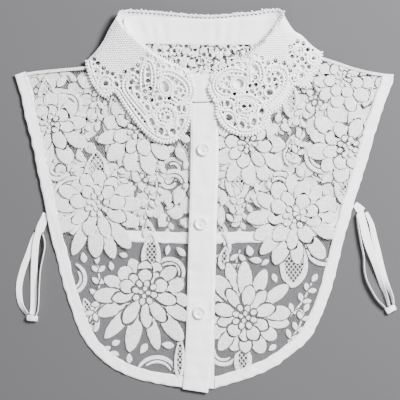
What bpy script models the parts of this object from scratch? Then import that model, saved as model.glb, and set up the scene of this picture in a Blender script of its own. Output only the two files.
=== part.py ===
"""A detachable lace collar with its bib, laid flat on a table with the front up.

The garment is two lace fronts joined by a buttoned placket, a shorter lace back under them, a cotton
neckband, a cut-work lace collar sewn round the top of the band, cotton bindings and two side elastics.

Points in the tables are millimetres on the table top: across from the left, and down from the far
edge, with heights above the table. The object stands in metres, +Z up, with the neck towards +Y.
"""

import math

import bmesh
import bpy
import numpy as np
from mathutils.geometry import delaunay_2d_cdt

# Driving sizes, in millimetres
MM = 0.001
MIDDLE_ACROSS = 205.5
MIDDLE_DOWN = 202.0
LACE = 1.0
BINDING = 1.4
BACK_BINDING = 1.2
BINDING_WIDTH = 11.5
PLACKET = 1.4
STAND = 1.2
FALL = 1.4
ELASTIC = 1.0
SEAM = 0.5
NECK_SEAM = 1.1
BACK_LEVEL = 0.6
FRONT_LEVEL = 2.5
FRONT_ON_TABLE = 0.7
LAYER_STEP = 1.9
PLACKET_STEP = 1.95
FALL_LEVEL = 0.7
OVER_FALL = 2.5
OVER_FRONT = 1.8
FALL_CLEAR = 8.0
FALL_DROP = 22.0
HEM_CLEAR = 9.0
HEM_DROP = 18.0
NECK_SPREAD = 60.0
BACK_NECK_SPREAD = 40.0
PLACKET_SPREAD = 14.0
BUTTON_RADIUS = 6.5
BUTTON_HOLE_RADIUS = 0.9
BUTTON_HOLE_PITCH = 3.2
CURVE_STEP = 6.0
LACE_SPACING = 17.0

COTTON = ("cotton", (0.83, 0.83, 0.85), 0.85)
LACE_CLOTH = ("lace_cloth", (0.80, 0.80, 0.82), 0.80)
COLLAR_CLOTH = ("collar_lace_cloth", (0.84, 0.84, 0.84), 0.80)
ELASTIC_CLOTH = ("elastic_cloth", (0.80, 0.80, 0.79), 0.70)
BUTTON_RESIN = ("button_resin", (0.86, 0.86, 0.87), 0.35)

# Outer edges, across and down
LEFT_EDGE = [
    (14.5, 75.5), (20.7, 94.4), (25.2, 116.6), (32.1, 144.0), (37.5, 172.0), (43.6, 200.0),
    (48.7, 226.3), (51.6, 239.3), (57.1, 259.0), (62.5, 282.0), (68.8, 301.8), (75.0, 320.5),
    (84.2, 340.3), (99.5, 358.2), (121.2, 373.0), (144.0, 381.0), (169.6, 385.8), (182.0, 387.5),
]
LEFT_FOOT = (182.9, 376.2)
RIGHT_EDGE = [
    (393.8, 74.5), (392.8, 82.0), (385.6, 100.8), (376.0, 130.0), (365.8, 165.8), (355.0, 200.0),
    (349.2, 221.7), (343.6, 240.8), (340.0, 256.0), (335.2, 275.3), (328.8, 297.0), (317.3, 325.0),
    (307.1, 341.6), (291.8, 354.3), (276.5, 365.8), (258.7, 374.5), (236.0, 382.5), (214.5, 388.5),
]
RIGHT_FOOT = (214.7, 377.2)
BACK_LEFT_EDGE = [
    (15.8, 76.3), (22.0, 95.0), (26.5, 117.0), (33.3, 144.0), (38.7, 172.0), (45.6, 205.0),
]
BACK_RIGHT_EDGE = [
    (392.3, 75.5), (391.4, 82.5), (384.3, 101.0), (374.8, 130.0), (364.6, 165.8), (354.2, 198.0),
]
BACK_HEM = [
    (49.0, 218.5), (60.0, 227.0), (80.0, 234.5), (115.0, 241.0), (160.0, 243.2), (205.0, 244.0),
    (250.0, 243.0), (290.0, 240.8), (320.0, 234.5), (338.0, 225.0), (349.5, 213.5),
]
LEFT_SHOULDER = [(14.5, 75.5), (33.0, 71.0), (61.0, 68.0), (87.0, 65.5), (110.0, 59.5), (128.5, 51.5)]
RIGHT_SHOULDER = [(393.8, 74.5), (369.3, 70.6), (352.0, 66.2), (339.0, 61.8), (321.0, 56.4), (300.0, 53.0), (279.0, 49.5)]

# The placket's long edges
UPPER_LEFT = [(190.6, 103.5), (190.8, 120.0), (190.0, 190.0), (188.5, 240.0), (187.0, 300.0), (185.6, 345.0), (182.6, 388.6)]
UPPER_RIGHT = [(215.6, 103.0), (216.4, 130.0), (217.0, 165.0), (215.5, 200.0), (214.4, 260.0), (213.3, 300.0), (211.4, 350.0), (208.0, 392.5)]
UNDER_LEFT = [(194.0, 104.5), (193.6, 160.0), (192.0, 240.0), (190.0, 300.0), (188.0, 386.0)]
UNDER_RIGHT = [(218.0, 101.5), (218.6, 165.0), (217.0, 200.0), (215.8, 260.0), (214.8, 300.0), (213.9, 388.6)]

# The neckband from its under end, round the back, to its over end:
# top across, top down, top height, foot across, foot down, foot height
STAND_ROWS = [
    (196.0, 77.5, 10.4, 196.0, 103.0, 6.3),
    (214.0, 74.5, 10.9, 215.0, 100.6, 6.6),
    (233.5, 66.0, 13.4, 236.0, 92.0, 7.4),
    (252.0, 55.5, 14.8, 255.0, 78.0, 8.4),
    (264.5, 42.5, 15.2, 268.5, 63.0, 8.8),
    (273.0, 30.0, 14.6, 276.0, 53.0, 8.2),
    (277.6, 21.0, 11.6, 273.0, 47.0, 5.6),
    (271.0, 16.8, 8.4, 262.0, 45.4, 3.8),
    (255.0, 17.4, 7.4, 245.0, 44.8, 3.2),
    (205.0, 19.6, 7.0, 205.0, 45.2, 3.1),
    (160.0, 17.8, 7.4, 163.0, 44.2, 3.2),
    (131.5, 16.8, 8.4, 143.0, 44.2, 3.8),
    (124.3, 21.0, 11.6, 132.0, 47.4, 5.6),
    (128.5, 31.5, 14.6, 130.0, 54.0, 8.2),
    (141.0, 45.5, 15.2, 138.0, 66.0, 8.8),
    (153.5, 56.0, 14.8, 152.0, 82.0, 8.4),
    (174.0, 67.6, 13.4, 170.0, 95.0, 7.4),
    (192.0, 74.6, 12.6, 191.0, 102.0, 8.2),
    (213.6, 74.2, 12.7, 214.6, 101.4, 8.4),
]
STAND_COLUMNS = 3
BACK_STAND = slice(6, 13)
LEFT_STAND = slice(12, 17)
RIGHT_STAND = slice(1, 7)
NECK_CENTRE = (192.0, 102.0, 6.5)

# The collar's rim, where it is sewn to the band: across, down and height
LEFT_RIM = [
    (191.5, 72.5, 14.9), (183.0, 68.6, 15.3), (172.0, 63.2, 16.0), (163.0, 58.6, 16.6), (152.5, 52.0, 17.2),
    (142.5, 43.6, 17.4), (132.0, 35.0, 17.0), (123.5, 25.0, 15.6), (118.3, 16.0, 12.6),
]
RIGHT_RIM = [
    (214.5, 70.7, 14.9), (222.0, 66.8, 15.3), (232.7, 62.3, 16.0), (242.5, 57.8, 16.6), (251.4, 51.0, 17.2),
    (259.5, 44.5, 17.4), (267.0, 36.0, 17.2), (273.5, 28.5, 16.4), (279.0, 21.0, 15.0), (283.0, 15.2, 12.6),
]
BACK_RIM = [
    (118.3, 16.0, 12.6), (121.0, 12.6, 10.4), (131.0, 11.6, 9.0), (150.0, 12.5, 8.4), (165.0, 13.7, 8.2),
    (190.0, 16.0, 8.1), (205.0, 16.7, 8.1), (220.0, 16.5, 8.1), (234.0, 15.0, 8.2), (256.0, 13.2, 8.4),
    (268.0, 10.9, 9.0), (277.0, 10.8, 9.8), (281.6, 12.4, 11.0), (283.0, 15.2, 12.6),
]
LEFT_FRONT_EDGE = [
    (191.5, 72.5), (192.6, 78.0), (194.4, 84.0), (195.3, 91.0), (193.6, 99.0), (190.4, 104.5), (191.4, 111.5), (190.0, 119.5),
]
RIGHT_FRONT_EDGE = [
    (214.5, 70.7), (210.5, 76.0), (207.9, 84.0), (209.6, 93.0), (214.0, 100.0), (216.6, 106.0), (215.8, 112.5), (217.4, 117.0),
]
LEFT_SCALLOPS = [
    (190.0, 119.5), (186.6, 128.5), (181.5, 136.2), (174.5, 140.9), (166.0, 142.9), (157.5, 141.0), (150.2, 136.4),
    (144.0, 131.0), (138.5, 125.0), (133.0, 118.0), (127.5, 110.0), (122.5, 102.5), (118.4, 96.0), (114.2, 91.4),
    (110.2, 94.6), (105.6, 96.9), (100.6, 94.0), (96.0, 88.0), (91.8, 81.5), (89.2, 74.0), (87.3, 67.0), (86.3, 61.5),
]
RIGHT_SCALLOPS = [
    (217.4, 117.0), (221.8, 124.6), (229.0, 130.6), (238.0, 134.6), (247.0, 135.6), (256.0, 133.6), (263.6, 128.4),
    (268.3, 120.6), (271.0, 112.6), (277.4, 108.8), (283.2, 102.4), (288.4, 95.0), (292.0, 87.8), (295.8, 84.6),
    (301.4, 87.4), (307.2, 85.6), (310.6, 80.4), (311.8, 74.8), (316.0, 71.8), (319.4, 66.0), (321.0, 59.0), (321.6, 52.6),
]
LEFT_SIDE_FOLD = [(118.3, 16.0), (109.2, 30.4), (103.8, 41.2), (95.0, 52.8), (86.3, 61.5)]
RIGHT_SIDE_FOLD = [(283.0, 15.2), (293.0, 30.6), (301.5, 36.0), (312.0, 46.2), (321.6, 52.6)]
BACK_FALL_EDGE = [
    (86.3, 61.5), (92.0, 70.5), (110.0, 78.0), (150.0, 83.5), (205.0, 85.5), (258.0, 82.0), (300.0, 73.0),
    (316.0, 64.0), (321.6, 52.6),
]
FRONT_COLUMNS = 34
BACK_COLUMNS = 26
FALL_ROWS = (0, 0.04, 0.11, 0.2, 0.33, 0.48, 0.65, 0.82, 1)
SIDE_HEIGHTS = (12.6, 3.2)
SIDE_ROUNDING = (9.0, 3.0)
# How the hidden back of the collar comes down to the table: distance from the rim, height
BACK_FALL_DROP = [(0.0, 8.1), (2.7, 4.7), (12.7, 3.5), (28.5, 1.15), (36.0, FALL_LEVEL), (200.0, FALL_LEVEL)]

# Open places in the collar lace: across, down, long size, short size, turn in degrees from across
COLLAR_HOLES = [
    (238.6, 84.5, 9.0, 8.4, 0), (268.8, 93.0, 7.4, 5.6, 0), (228.5, 118.0, 7.6, 6.0, 25), (241.5, 125.2, 7.4, 4.8, 80),
    (253.3, 122.4, 7.6, 5.0, 105), (261.2, 112.0, 7.2, 4.6, 100), (221.2, 104.4, 6.0, 4.2, 80), (226.9, 104.2, 6.0, 4.2, 100),
    (254.0, 69.4, 5.6, 4.8, 90), (267.6, 81.2, 6.4, 4.2, -60), (275.2, 87.0, 7.0, 4.2, 115), (238.0, 111.4, 6.2, 4.4, -40),
    (250.6, 106.0, 5.0, 4.4, 0), (294.0, 80.4, 8.0, 4.4, 48), (301.6, 68.0, 4.8, 4.4, 0),
    (165.2, 87.4, 11.0, 6.4, 75), (184.4, 109.2, 6.0, 4.4, 80), (178.6, 108.4, 7.0, 4.2, 75), (183.0, 96.8, 4.8, 4.2, 0),
    (181.2, 122.4, 7.4, 6.0, 100), (172.6, 132.0, 7.0, 6.0, 60), (160.6, 131.6, 7.6, 5.2, 100), (151.6, 122.4, 8.0, 5.6, 70),
    (167.6, 118.4, 5.0, 4.4, 30), (147.2, 108.0, 5.6, 4.2, 60), (159.8, 99.0, 6.6, 4.2, 60), (137.6, 96.6, 7.2, 4.2, 65),
    (105.8, 84.0, 5.0, 4.6, 0), (116.0, 84.6, 6.0, 4.2, 50),
]
HOLE_SIDES = 10
FRONT_HOLE_SPAN = (3.2, 30.0)
BACK_ROSETTES = [(124.0, 70.0), (152.0, 73.5), (180.0, 75.0), (208.0, 75.5), (236.0, 74.5), (264.0, 71.0), (288.0, 66.0)]
ROSETTE_HOLE = 7.0
BACK_HOLE_SPAN = (-1.0, 1.75)

# Buttons: across, down, turn of the two holes in degrees from across
BUTTONS = {
    "button_top": (203.5, 149.5, 90),
    "button_middle": (201.0, 223.5, 65),
    "button_bottom": (199.5, 312.5, 55),
}

# Elastic runs: across, down, height, tilt in degrees from flat, width
ELASTICS = {
    "elastic_left_tab": [
        (46.1, 213.4, 0.75, 0, 6.6), (44.0, 219.4, 0.75, 0, 7.6), (41.6, 225.0, 0.75, 0, 8.4), (39.4, 231.0, 0.75, 0, 8.4),
    ],
    "elastic_left_outer": [
        (36.6, 233.4, 0.6, 0, 6.0), (33.0, 241.0, 0.5, 0, 6.0), (28.6, 253.6, 0.5, 0, 6.0), (22.8, 269.6, 0.5, 0, 6.2),
        (19.4, 284.0, 0.6, 0, 6.2), (19.3, 295.0, 1.0, 8, 6.0), (21.6, 305.4, 1.8, 25, 5.6), (27.4, 314.0, 2.4, 50, 5.0),
    ],
    "elastic_left_inner": [
        (39.2, 229.4, 2.15, 0, 6.4), (36.2, 241.0, 2.1, 0, 6.6), (35.0, 252.0, 2.2, 0, 6.6), (34.4, 262.5, 2.1, 0, 6.6),
        (34.0, 275.0, 1.2, 0, 6.6), (33.9, 286.0, 0.6, 0, 6.6), (33.8, 298.2, 0.6, 0, 6.6), (33.2, 308.0, 0.9, 0, 6.2),
        (32.2, 314.5, 1.4, 0, 5.4),
    ],
    "elastic_left_side": [
        (42.5, 234.0, 2.9, 78, 5.2), (44.3, 239.5, 3.0, 78, 5.2), (44.8, 247.0, 3.1, 80, 5.4), (43.0, 257.0, 3.1, 80, 5.4),
        (40.8, 268.0, 3.1, 82, 5.4), (39.6, 282.0, 3.1, 84, 5.4), (39.0, 298.0, 3.1, 84, 5.4), (38.2, 309.0, 3.0, 84, 5.2),
        (36.2, 315.2, 2.9, 84, 5.0),
    ],
    "elastic_right_tab": [
        (354.6, 204.5, 0.75, 0, 6.0), (357.6, 207.0, 0.75, 0, 7.4), (361.4, 211.4, 0.75, 0, 9.4),
    ],
    "elastic_right_outer": [
        (360.0, 210.4, 2.15, 0, 6.4), (363.6, 226.0, 3.2, 0, 7.6), (366.0, 237.0, 4.0, 0, 8.2), (370.0, 250.0, 4.4, 0, 7.6),
        (374.6, 262.0, 4.2, 8, 7.0), (378.6, 274.0, 3.6, 20, 6.4), (382.0, 285.0, 3.2, 40, 6.0), (386.0, 295.4, 3.0, 62, 5.4),
        (388.9, 305.9, 2.8, 70, 5.0),
    ],
    "elastic_right_inner": [
        (366.0, 212.4, 2.0, 0, 3.6), (371.2, 224.0, 1.4, 0, 5.0), (374.0, 237.0, 1.2, 0, 6.0), (377.6, 251.0, 1.2, 0, 6.0),
        (380.8, 264.0, 1.2, 0, 5.6), (384.0, 276.0, 1.4, 12, 5.4), (388.0, 287.0, 2.0, 35, 5.2), (391.8, 296.0, 2.6, 62, 5.0),
        (393.2, 303.6, 2.7, 72, 4.8),
    ],
    "elastic_right_side": [
        (356.5, 214.0, 2.9, 78, 5.0), (358.2, 228.0, 3.0, 80, 5.4), (360.6, 242.0, 3.1, 80, 5.6), (363.4, 256.0, 3.1, 80, 5.6),
        (363.9, 268.0, 3.1, 80, 5.6), (366.0, 279.0, 3.1, 80, 5.6), (370.6, 289.0, 3.1, 80, 5.6), (377.0, 299.6, 3.1, 78, 5.4),
        (385.4, 308.2, 3.0, 76, 5.0),
    ],
}
ELASTIC_STEP = 5.0
# Sewn ends of the elastics: across, down, long size, short size, height, turn
TACKS = {
    "elastic_left_tack": (32.6, 318.2, 10.4, 5.6, 4.2, 6),
    "elastic_right_tack": (390.6, 309.2, 10.6, 6.0, 4.4, -28),
}


def through(rows, step):
    """Points about step apart on a smooth curve through the rows; columns after the second go along."""
    rows = np.array(rows, float)
    padded = np.vstack([2 * rows[0] - rows[1], rows, 2 * rows[-1] - rows[-2]])
    share = np.linspace(0, 1, 12, endpoint=False)[:, None]
    spans = []
    for a, b, c, d in zip(padded, padded[1:], padded[2:], padded[3:]):
        spans.append(
            0.5 * (2 * b + (c - a) * share + (2 * a - 5 * b + 4 * c - d) * share**2 + (3 * b - a - 3 * c + d) * share**3)
        )
    dense = np.vstack([*spans, rows[-1:]])
    length = np.concatenate([[0], np.cumsum(np.linalg.norm(np.diff(dense[:, :2], axis=0), axis=1))])
    count = max(2, round(length[-1] / step) + 1)
    return at_lengths(dense, length, np.linspace(0, length[-1], count))


def at_lengths(dense, length, wanted):
    """The curve's rows at the wanted distances along it."""
    return np.stack([np.interp(wanted, length, dense[:, k]) for k in range(dense.shape[1])], axis=1)


def spaced(rows, shares):
    """Points of the smooth curve through the rows at these shares of its length."""
    dense = through(rows, 0.5)
    length = np.concatenate([[0], np.cumsum(np.linalg.norm(np.diff(dense[:, :2], axis=0), axis=1))])
    return at_lengths(dense, length, np.asarray(shares) * length[-1])


def beside(route, distance):
    """The route moved sideways in plan, to the left of its travel as the table is seen from above."""
    along = np.gradient(route[:, :2], axis=0)
    along /= np.linalg.norm(along, axis=1)[:, None]
    moved = route.copy()
    moved[:, :2] += distance * np.stack([along[:, 1], -along[:, 0]], axis=1)
    return moved


def nearest(route, points):
    """Each point's distance to the route in plan, and the route's third column there."""
    start, step = route[:-1, :2], np.diff(route[:, :2], axis=0)
    share = ((points[:, None] - start) * step).sum(2) / np.maximum((step**2).sum(1), 1e-9)
    share = np.clip(share, 0, 1)
    away = np.linalg.norm(points[:, None] - start - share[..., None] * step, axis=2)
    best = away.argmin(1)
    rows = np.arange(len(points))
    if route.shape[1] < 3:
        return away[rows, best], None
    heights = route[best, 2] + share[rows, best] * (route[best + 1, 2] - route[best, 2])
    return away[rows, best], heights


def inside(outline, points):
    """Whether each point lies in the closed outline, by counting crossings."""
    a, b = outline[:, :2], np.roll(outline[:, :2], -1, axis=0)
    x, y = points[:, None, 0], points[:, None, 1]
    crosses = (a[:, 1] > y) != (b[:, 1] > y)
    rise = np.where(np.abs(b[:, 1] - a[:, 1]) < 1e-9, 1e-9, b[:, 1] - a[:, 1])
    return (crosses & (x < a[:, 0] + (y - a[:, 1]) * (b[:, 0] - a[:, 0]) / rise)).sum(1) % 2 == 1


def ease(value):
    """A smooth step from 0 to 1."""
    value = np.clip(value, 0, 1)
    return value * value * (3 - 2 * value)


def soft_max(a, b, width=0.4):
    return 0.5 * (a + b + np.sqrt((a - b) ** 2 + width**2))


STAND_TABLE = np.array(STAND_ROWS, float)
BACK_SEAM = through(STAND_TABLE[BACK_STAND, 3:], CURVE_STEP)
LEFT_SEAM = through(np.vstack([STAND_TABLE[LEFT_STAND, 3:], [NECK_CENTRE]]), CURVE_STEP)
RIGHT_SEAM = through(STAND_TABLE[RIGHT_STAND, 3:], CURVE_STEP)
FRONT_SEAM = np.vstack([LEFT_SEAM, RIGHT_SEAM])
BACK_FALL_OUTLINE = np.vstack(
    [through(BACK_RIM, 4)[:, :2], through(RIGHT_SIDE_FOLD, 4), through(BACK_FALL_EDGE, 4)[::-1], through(LEFT_SIDE_FOLD, 4)[::-1]]
)
BACK_HEM_CURVE = through(BACK_HEM, CURVE_STEP)


def back_height(points):
    """Mid height of the lace back: on the table, up over the collar's hidden part and up to the neck seam."""
    away, height = nearest(BACK_SEAM, points)
    neck = BACK_LEVEL + (height - BACK_LEVEL) * (1 - ease(away / BACK_NECK_SPREAD))
    beyond, _ = nearest(BACK_FALL_OUTLINE, points)
    beyond = np.where(inside(BACK_FALL_OUTLINE, points), 0, beyond)
    return soft_max(neck, BACK_LEVEL + (OVER_FALL - BACK_LEVEL) * (1 - ease((beyond - FALL_CLEAR) / FALL_DROP)), 0.1)


def front_height(points):
    """Mid height of the right front: over the back, down to the table past its hem, up to the neck seam."""
    hem = np.interp(points[:, 0], BACK_HEM_CURVE[:, 0], BACK_HEM_CURVE[:, 1])
    past = ease((points[:, 1] - hem - HEM_CLEAR) / HEM_DROP)
    level = FRONT_LEVEL + (FRONT_ON_TABLE - FRONT_LEVEL) * past
    away, height = nearest(FRONT_SEAM, points)
    neck = level + (height - level) * (1 - ease(away / NECK_SPREAD))
    return np.where(past > 0, neck, soft_max(neck, back_height(points) + LAYER_STEP, 0.1))


def placket_lift(points):
    """From 1 on the placket to 0 where the lace lies free of it."""
    left = np.interp(points[:, 1], *np.array(UPPER_LEFT).T[::-1])
    right = np.interp(points[:, 1], *np.array(UPPER_RIGHT).T[::-1])
    away = np.maximum(np.maximum(left - points[:, 0], points[:, 0] - right), 0)
    return 1 - ease(away / PLACKET_SPREAD)


def left_height(points):
    """The left front, which rises to the upper placket that it is sewn to."""
    return front_height(points) + PLACKET_STEP * placket_lift(points)


def upper_height(points):
    return front_height(points) + PLACKET_STEP


def material_of(owner, finish):
    """The owner's own plain Principled material."""
    kind, colour, roughness = finish
    made = bpy.data.materials.new(f"{owner}_{kind}")
    made.use_nodes = True
    shader = made.node_tree.nodes["Principled BSDF"]
    shader.inputs["Base Color"].default_value = (*colour, 1)
    shader.inputs["Roughness"].default_value = roughness
    shader.inputs["Metallic"].default_value = 0
    made.diffuse_color = (*colour, 1)
    return made


def to_row(points):
    """Table millimetres to metres in the object's frame."""
    points = np.asarray(points, float)
    return np.stack(
        [(points[:, 0] - MIDDLE_ACROSS) * MM, (MIDDLE_DOWN - points[:, 1]) * MM, points[:, 2] * MM], axis=1
    )


def mesh_object(name, points, faces, finish, collection="lace_collar"):
    """A mesh object from table points, with its material, in the named collection."""
    mesh = bpy.data.meshes.new(name)
    mesh.from_pydata(to_row(points).tolist(), [], [list(map(int, f)) for f in faces])
    mesh.validate()
    shape = bmesh.new()
    shape.from_mesh(mesh)
    bmesh.ops.recalc_face_normals(shape, faces=shape.faces)
    shape.to_mesh(mesh)
    shape.free()
    made = bpy.data.objects.new(name, mesh)
    made.data.materials.append(material_of(name, finish))
    bpy.data.collections[collection].objects.link(made)
    made.data.shade_smooth()
    return made


def thicken(made, thickness):
    """Gives an open cloth surface its thickness, half to each side."""
    wall = made.modifiers.new("thickness", "SOLIDIFY")
    wall.thickness = thickness * MM
    wall.offset = 0
    return made


def grid_cloth(name, grid, thickness, finish):
    """A cloth wall through a grid of points: sections by points across each."""
    sections, across = grid.shape[:2]
    faces = [
        (i * across + j, i * across + j + 1, (i + 1) * across + j + 1, (i + 1) * across + j)
        for i in range(sections - 1)
        for j in range(across - 1)
    ]
    return thicken(mesh_object(name, grid.reshape(-1, 3), faces, finish), thickness)


def filled_cloth(name, outline, height_of, thickness, finish):
    """A cloth wall inside a plan outline, with points inside it for its shape."""
    outline = outline[:, :2]
    low, high = outline.min(0), outline.max(0)
    columns = np.arange(low[0], high[0], LACE_SPACING)
    rows = np.arange(low[1], high[1], LACE_SPACING * math.sqrt(3) / 2)
    lattice = np.array([(x + (k % 2) * LACE_SPACING / 2, y) for k, y in enumerate(rows) for x in columns])
    closed = np.vstack([outline, outline[:1]])
    lattice = lattice[inside(outline, lattice) & (nearest(closed, lattice)[0] > 0.45 * LACE_SPACING)]
    plan = np.vstack([outline, lattice])
    found = delaunay_2d_cdt([tuple(p) for p in plan], [], [list(range(len(outline)))], 1, 1e-5)
    flat = np.array([tuple(v) for v in found[0]])
    points = np.column_stack([flat, height_of(flat)])
    return thicken(mesh_object(name, points, found[2], finish), thickness)


def ribbon(name, left, right, height_of, thickness, finish, columns=2):
    """A flat strip between two long edges, which follows a height function."""
    shares = np.linspace(0, 1, columns + 1)[None, :, None]
    plan = left[:, None, :2] * (1 - shares) + right[:, None, :2] * shares
    heights = height_of(plan.reshape(-1, 2)).reshape(plan.shape[:2])
    return grid_cloth(name, np.dstack([plan, heights]), thickness, finish)


def binding(name, edge, side, height_of, thickness, foot=None):
    """A binding of BINDING_WIDTH along the inside of an outer edge; side is 1 or -1 for the way in."""
    outer = through(edge, CURVE_STEP)
    inner = beside(outer, side * BINDING_WIDTH)
    if foot:
        inner[-1] = foot
    return ribbon(name, outer, inner, height_of, thickness, COTTON)


def inner_line(edge, side):
    """Where the lace ends at a binding's inner edge."""
    return beside(through(edge, CURVE_STEP), side * (BINDING_WIDTH + SEAM))


def trimmed(route, keep):
    """The part of a route for which keep says yes."""
    return route[keep(route)]


def make_lace_panels():
    """The two fronts and the back, each inside its bindings, seams and placket."""
    left_binding, right_binding = inner_line(LEFT_EDGE, 1), inner_line(RIGHT_EDGE, -1)
    left_binding = trimmed(left_binding, lambda r: r[:, 0] < LEFT_FOOT[0] - SEAM)
    right_binding = trimmed(right_binding, lambda r: r[:, 0] > RIGHT_FOOT[0] + SEAM)
    left_neck, right_neck = beside(LEFT_SEAM, -NECK_SEAM)[::-1], beside(RIGHT_SEAM, -NECK_SEAM)
    left_placket = beside(through(UPPER_LEFT, CURVE_STEP), -SEAM)[::-1]
    left_placket = trimmed(left_placket, lambda r: (r[:, 1] < left_binding[-1, 1] - 2) & (r[:, 1] > 106))
    left_shoulder = through(LEFT_SHOULDER, CURVE_STEP)[::-1]
    left_shoulder = trimmed(left_shoulder, lambda r: (r[:, 0] > left_binding[0, 0] + 3) & (r[:, 0] < 125))
    left_neck = trimmed(left_neck, lambda r: (r[:, 1] > 55) & (r[:, 0] < 189))
    left = np.vstack([left_binding, left_placket, left_neck[:, :2], left_shoulder])
    filled_cloth("lace_front_left", left, left_height, LACE, LACE_CLOTH)

    right_placket = beside(through(UNDER_RIGHT, CURVE_STEP), SEAM)[::-1]
    right_placket = trimmed(right_placket, lambda r: r[:, 1] < right_binding[-1, 1] - 2)
    right_shoulder = through(RIGHT_SHOULDER, CURVE_STEP)[::-1]
    right_shoulder = trimmed(right_shoulder, lambda r: (r[:, 0] < right_binding[0, 0] - 3) & (r[:, 0] > 280))
    right_neck = trimmed(right_neck, lambda r: (r[:, 0] > 219) & (r[:, 1] > 57))
    right = np.vstack([right_binding, right_placket, right_neck[:, :2], right_shoulder])
    filled_cloth("lace_front_right", right, front_height, LACE, LACE_CLOTH)

    back_left, back_right = inner_line(BACK_LEFT_EDGE, 1), inner_line(BACK_RIGHT_EDGE, -1)
    hem = inner_line(BACK_HEM, 1)
    hem = trimmed(hem, lambda r: (r[:, 0] > back_left[-1, 0] + 1) & (r[:, 0] < back_right[-1, 0] - 1))
    back_left = trimmed(back_left, lambda r: r[:, 1] < hem[0, 1] - 3)
    back_right = trimmed(back_right, lambda r: r[:, 1] < hem[-1, 1] - 3)
    neck = beside(BACK_SEAM, NECK_SEAM)
    neck = trimmed(neck, lambda r: (r[:, 0] > 136) & (r[:, 0] < 269))
    left_side = through(LEFT_SHOULDER, CURVE_STEP)[::-1] + (0, 0.6)
    left_side = trimmed(left_side, lambda r: (r[:, 0] > back_left[0, 0] + 3) & (r[:, 0] < 127))
    right_side = through(RIGHT_SHOULDER, CURVE_STEP) + (0, 0.6)
    right_side = trimmed(right_side, lambda r: (r[:, 0] < back_right[0, 0] - 3) & (r[:, 0] > 280))
    back = np.vstack([back_left, hem, back_right[::-1], right_side, neck[:, :2], left_side])
    filled_cloth("lace_back", back, back_height, LACE, LACE_CLOTH)


def make_bindings():
    """Folded cotton along the armholes and hems."""
    binding("binding_front_left", LEFT_EDGE, 1, left_height, BINDING, LEFT_FOOT)
    binding("binding_front_right", RIGHT_EDGE, -1, front_height, BINDING, RIGHT_FOOT)
    binding("binding_back_left", BACK_LEFT_EDGE, 1, back_height, BACK_BINDING)
    binding("binding_back_right", BACK_RIGHT_EDGE, -1, back_height, BACK_BINDING)
    outer = through(BACK_HEM, CURVE_STEP)
    ribbon("binding_back_hem", outer, beside(outer, BINDING_WIDTH), back_height, BACK_BINDING, COTTON)


def make_placket():
    """The buttonhole strip on the left front over the button strip on the right front."""
    count = 30
    shares = np.linspace(0, 1, count)
    ribbon("placket_upper", spaced(UPPER_LEFT, shares), spaced(UPPER_RIGHT, shares), upper_height, PLACKET, COTTON)
    ribbon("placket_under", spaced(UNDER_LEFT, shares), spaced(UNDER_RIGHT, shares), front_height, PLACKET, COTTON)


def make_stand():
    """The neckband: one strip round the neck whose over end laps its under end at the front."""
    top = through(STAND_TABLE[:, :3], CURVE_STEP)
    feet = spaced_like(STAND_TABLE[:, :3], STAND_TABLE[:, 3:], len(top))
    shares = np.linspace(0, 1, STAND_COLUMNS + 1)[None, :, None]
    grid = top[:, None] * (1 - shares) + feet[:, None] * shares
    grid_cloth("collar_stand", grid, STAND, COTTON)


def spaced_like(lead, rows, count):
    """Smooth values of the rows at even distances along the lead's curve."""
    both = through(np.column_stack([lead, rows]), 0.5)
    length = np.concatenate([[0], np.cumsum(np.linalg.norm(np.diff(both[:, :2], axis=0), axis=1))])
    return at_lengths(both, length, np.linspace(0, length[-1], count))[:, lead.shape[1]:]


def patch(rim, foot, start, end, along, down):
    """A plan grid between four edges: along shares from start to end, down shares from rim to foot."""
    top, bottom = spaced(rim, along)[:, None, :2], spaced(foot, along)[:, None, :2]
    first, last = spaced(start, down)[None, :, :2], spaced(end, down)[None, :, :2]
    u, v = along[:, None, None], down[None, :, None]
    corners = (1 - u) * ((1 - v) * top[:1] + v * bottom[:1]) + u * ((1 - v) * top[-1:] + v * bottom[-1:])
    return (1 - v) * top + v * bottom + (1 - u) * first + u * last - corners


def rounded(away, radius):
    """How far a sheet has come round its side fold, from 0 at the fold to 1."""
    return np.sqrt(1 - (1 - np.clip(away / radius, 0, 1)) ** 2)


def fall_front(rim, scallops, front_edge, side_fold, along, down):
    """One front of the collar: from the rim down over the band and onto the front, round at its side fold."""
    plan = patch(rim, scallops, front_edge, side_fold, along, down)
    flat = plan.reshape(-1, 2)
    floor = front_height(flat) + PLACKET_STEP * placket_lift(flat) + OVER_FRONT
    floor = floor.reshape(plan.shape[:2])
    rim_height = spaced(rim, along)[:, None, 2]
    sloped = rim_height * (1 - down) + floor[:, -1:] * down
    return join_side(plan, soft_max(sloped, floor, 1.0), side_fold, down)


def fall_back(along, down):
    """The hidden back of the collar, from its rim down to the table under the lace back."""
    plan = patch(BACK_RIM, BACK_FALL_EDGE, LEFT_SIDE_FOLD, RIGHT_SIDE_FOLD, along, down)
    away = np.linalg.norm(plan - plan[:, :1], axis=2)
    drop = np.array(BACK_FALL_DROP)
    above = spaced(BACK_RIM, along)[:, None, 2] - drop[0, 1]
    height = np.interp(away, drop[:, 0], drop[:, 1]) + above * np.clip(1 - away / 30, 0, 1)
    left = join_side(plan, height, LEFT_SIDE_FOLD, down)
    right = join_side(plan, height, RIGHT_SIDE_FOLD, down)
    half = plan[:, :, :1] < MIDDLE_ACROSS
    return np.where(half, left, right)


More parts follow.
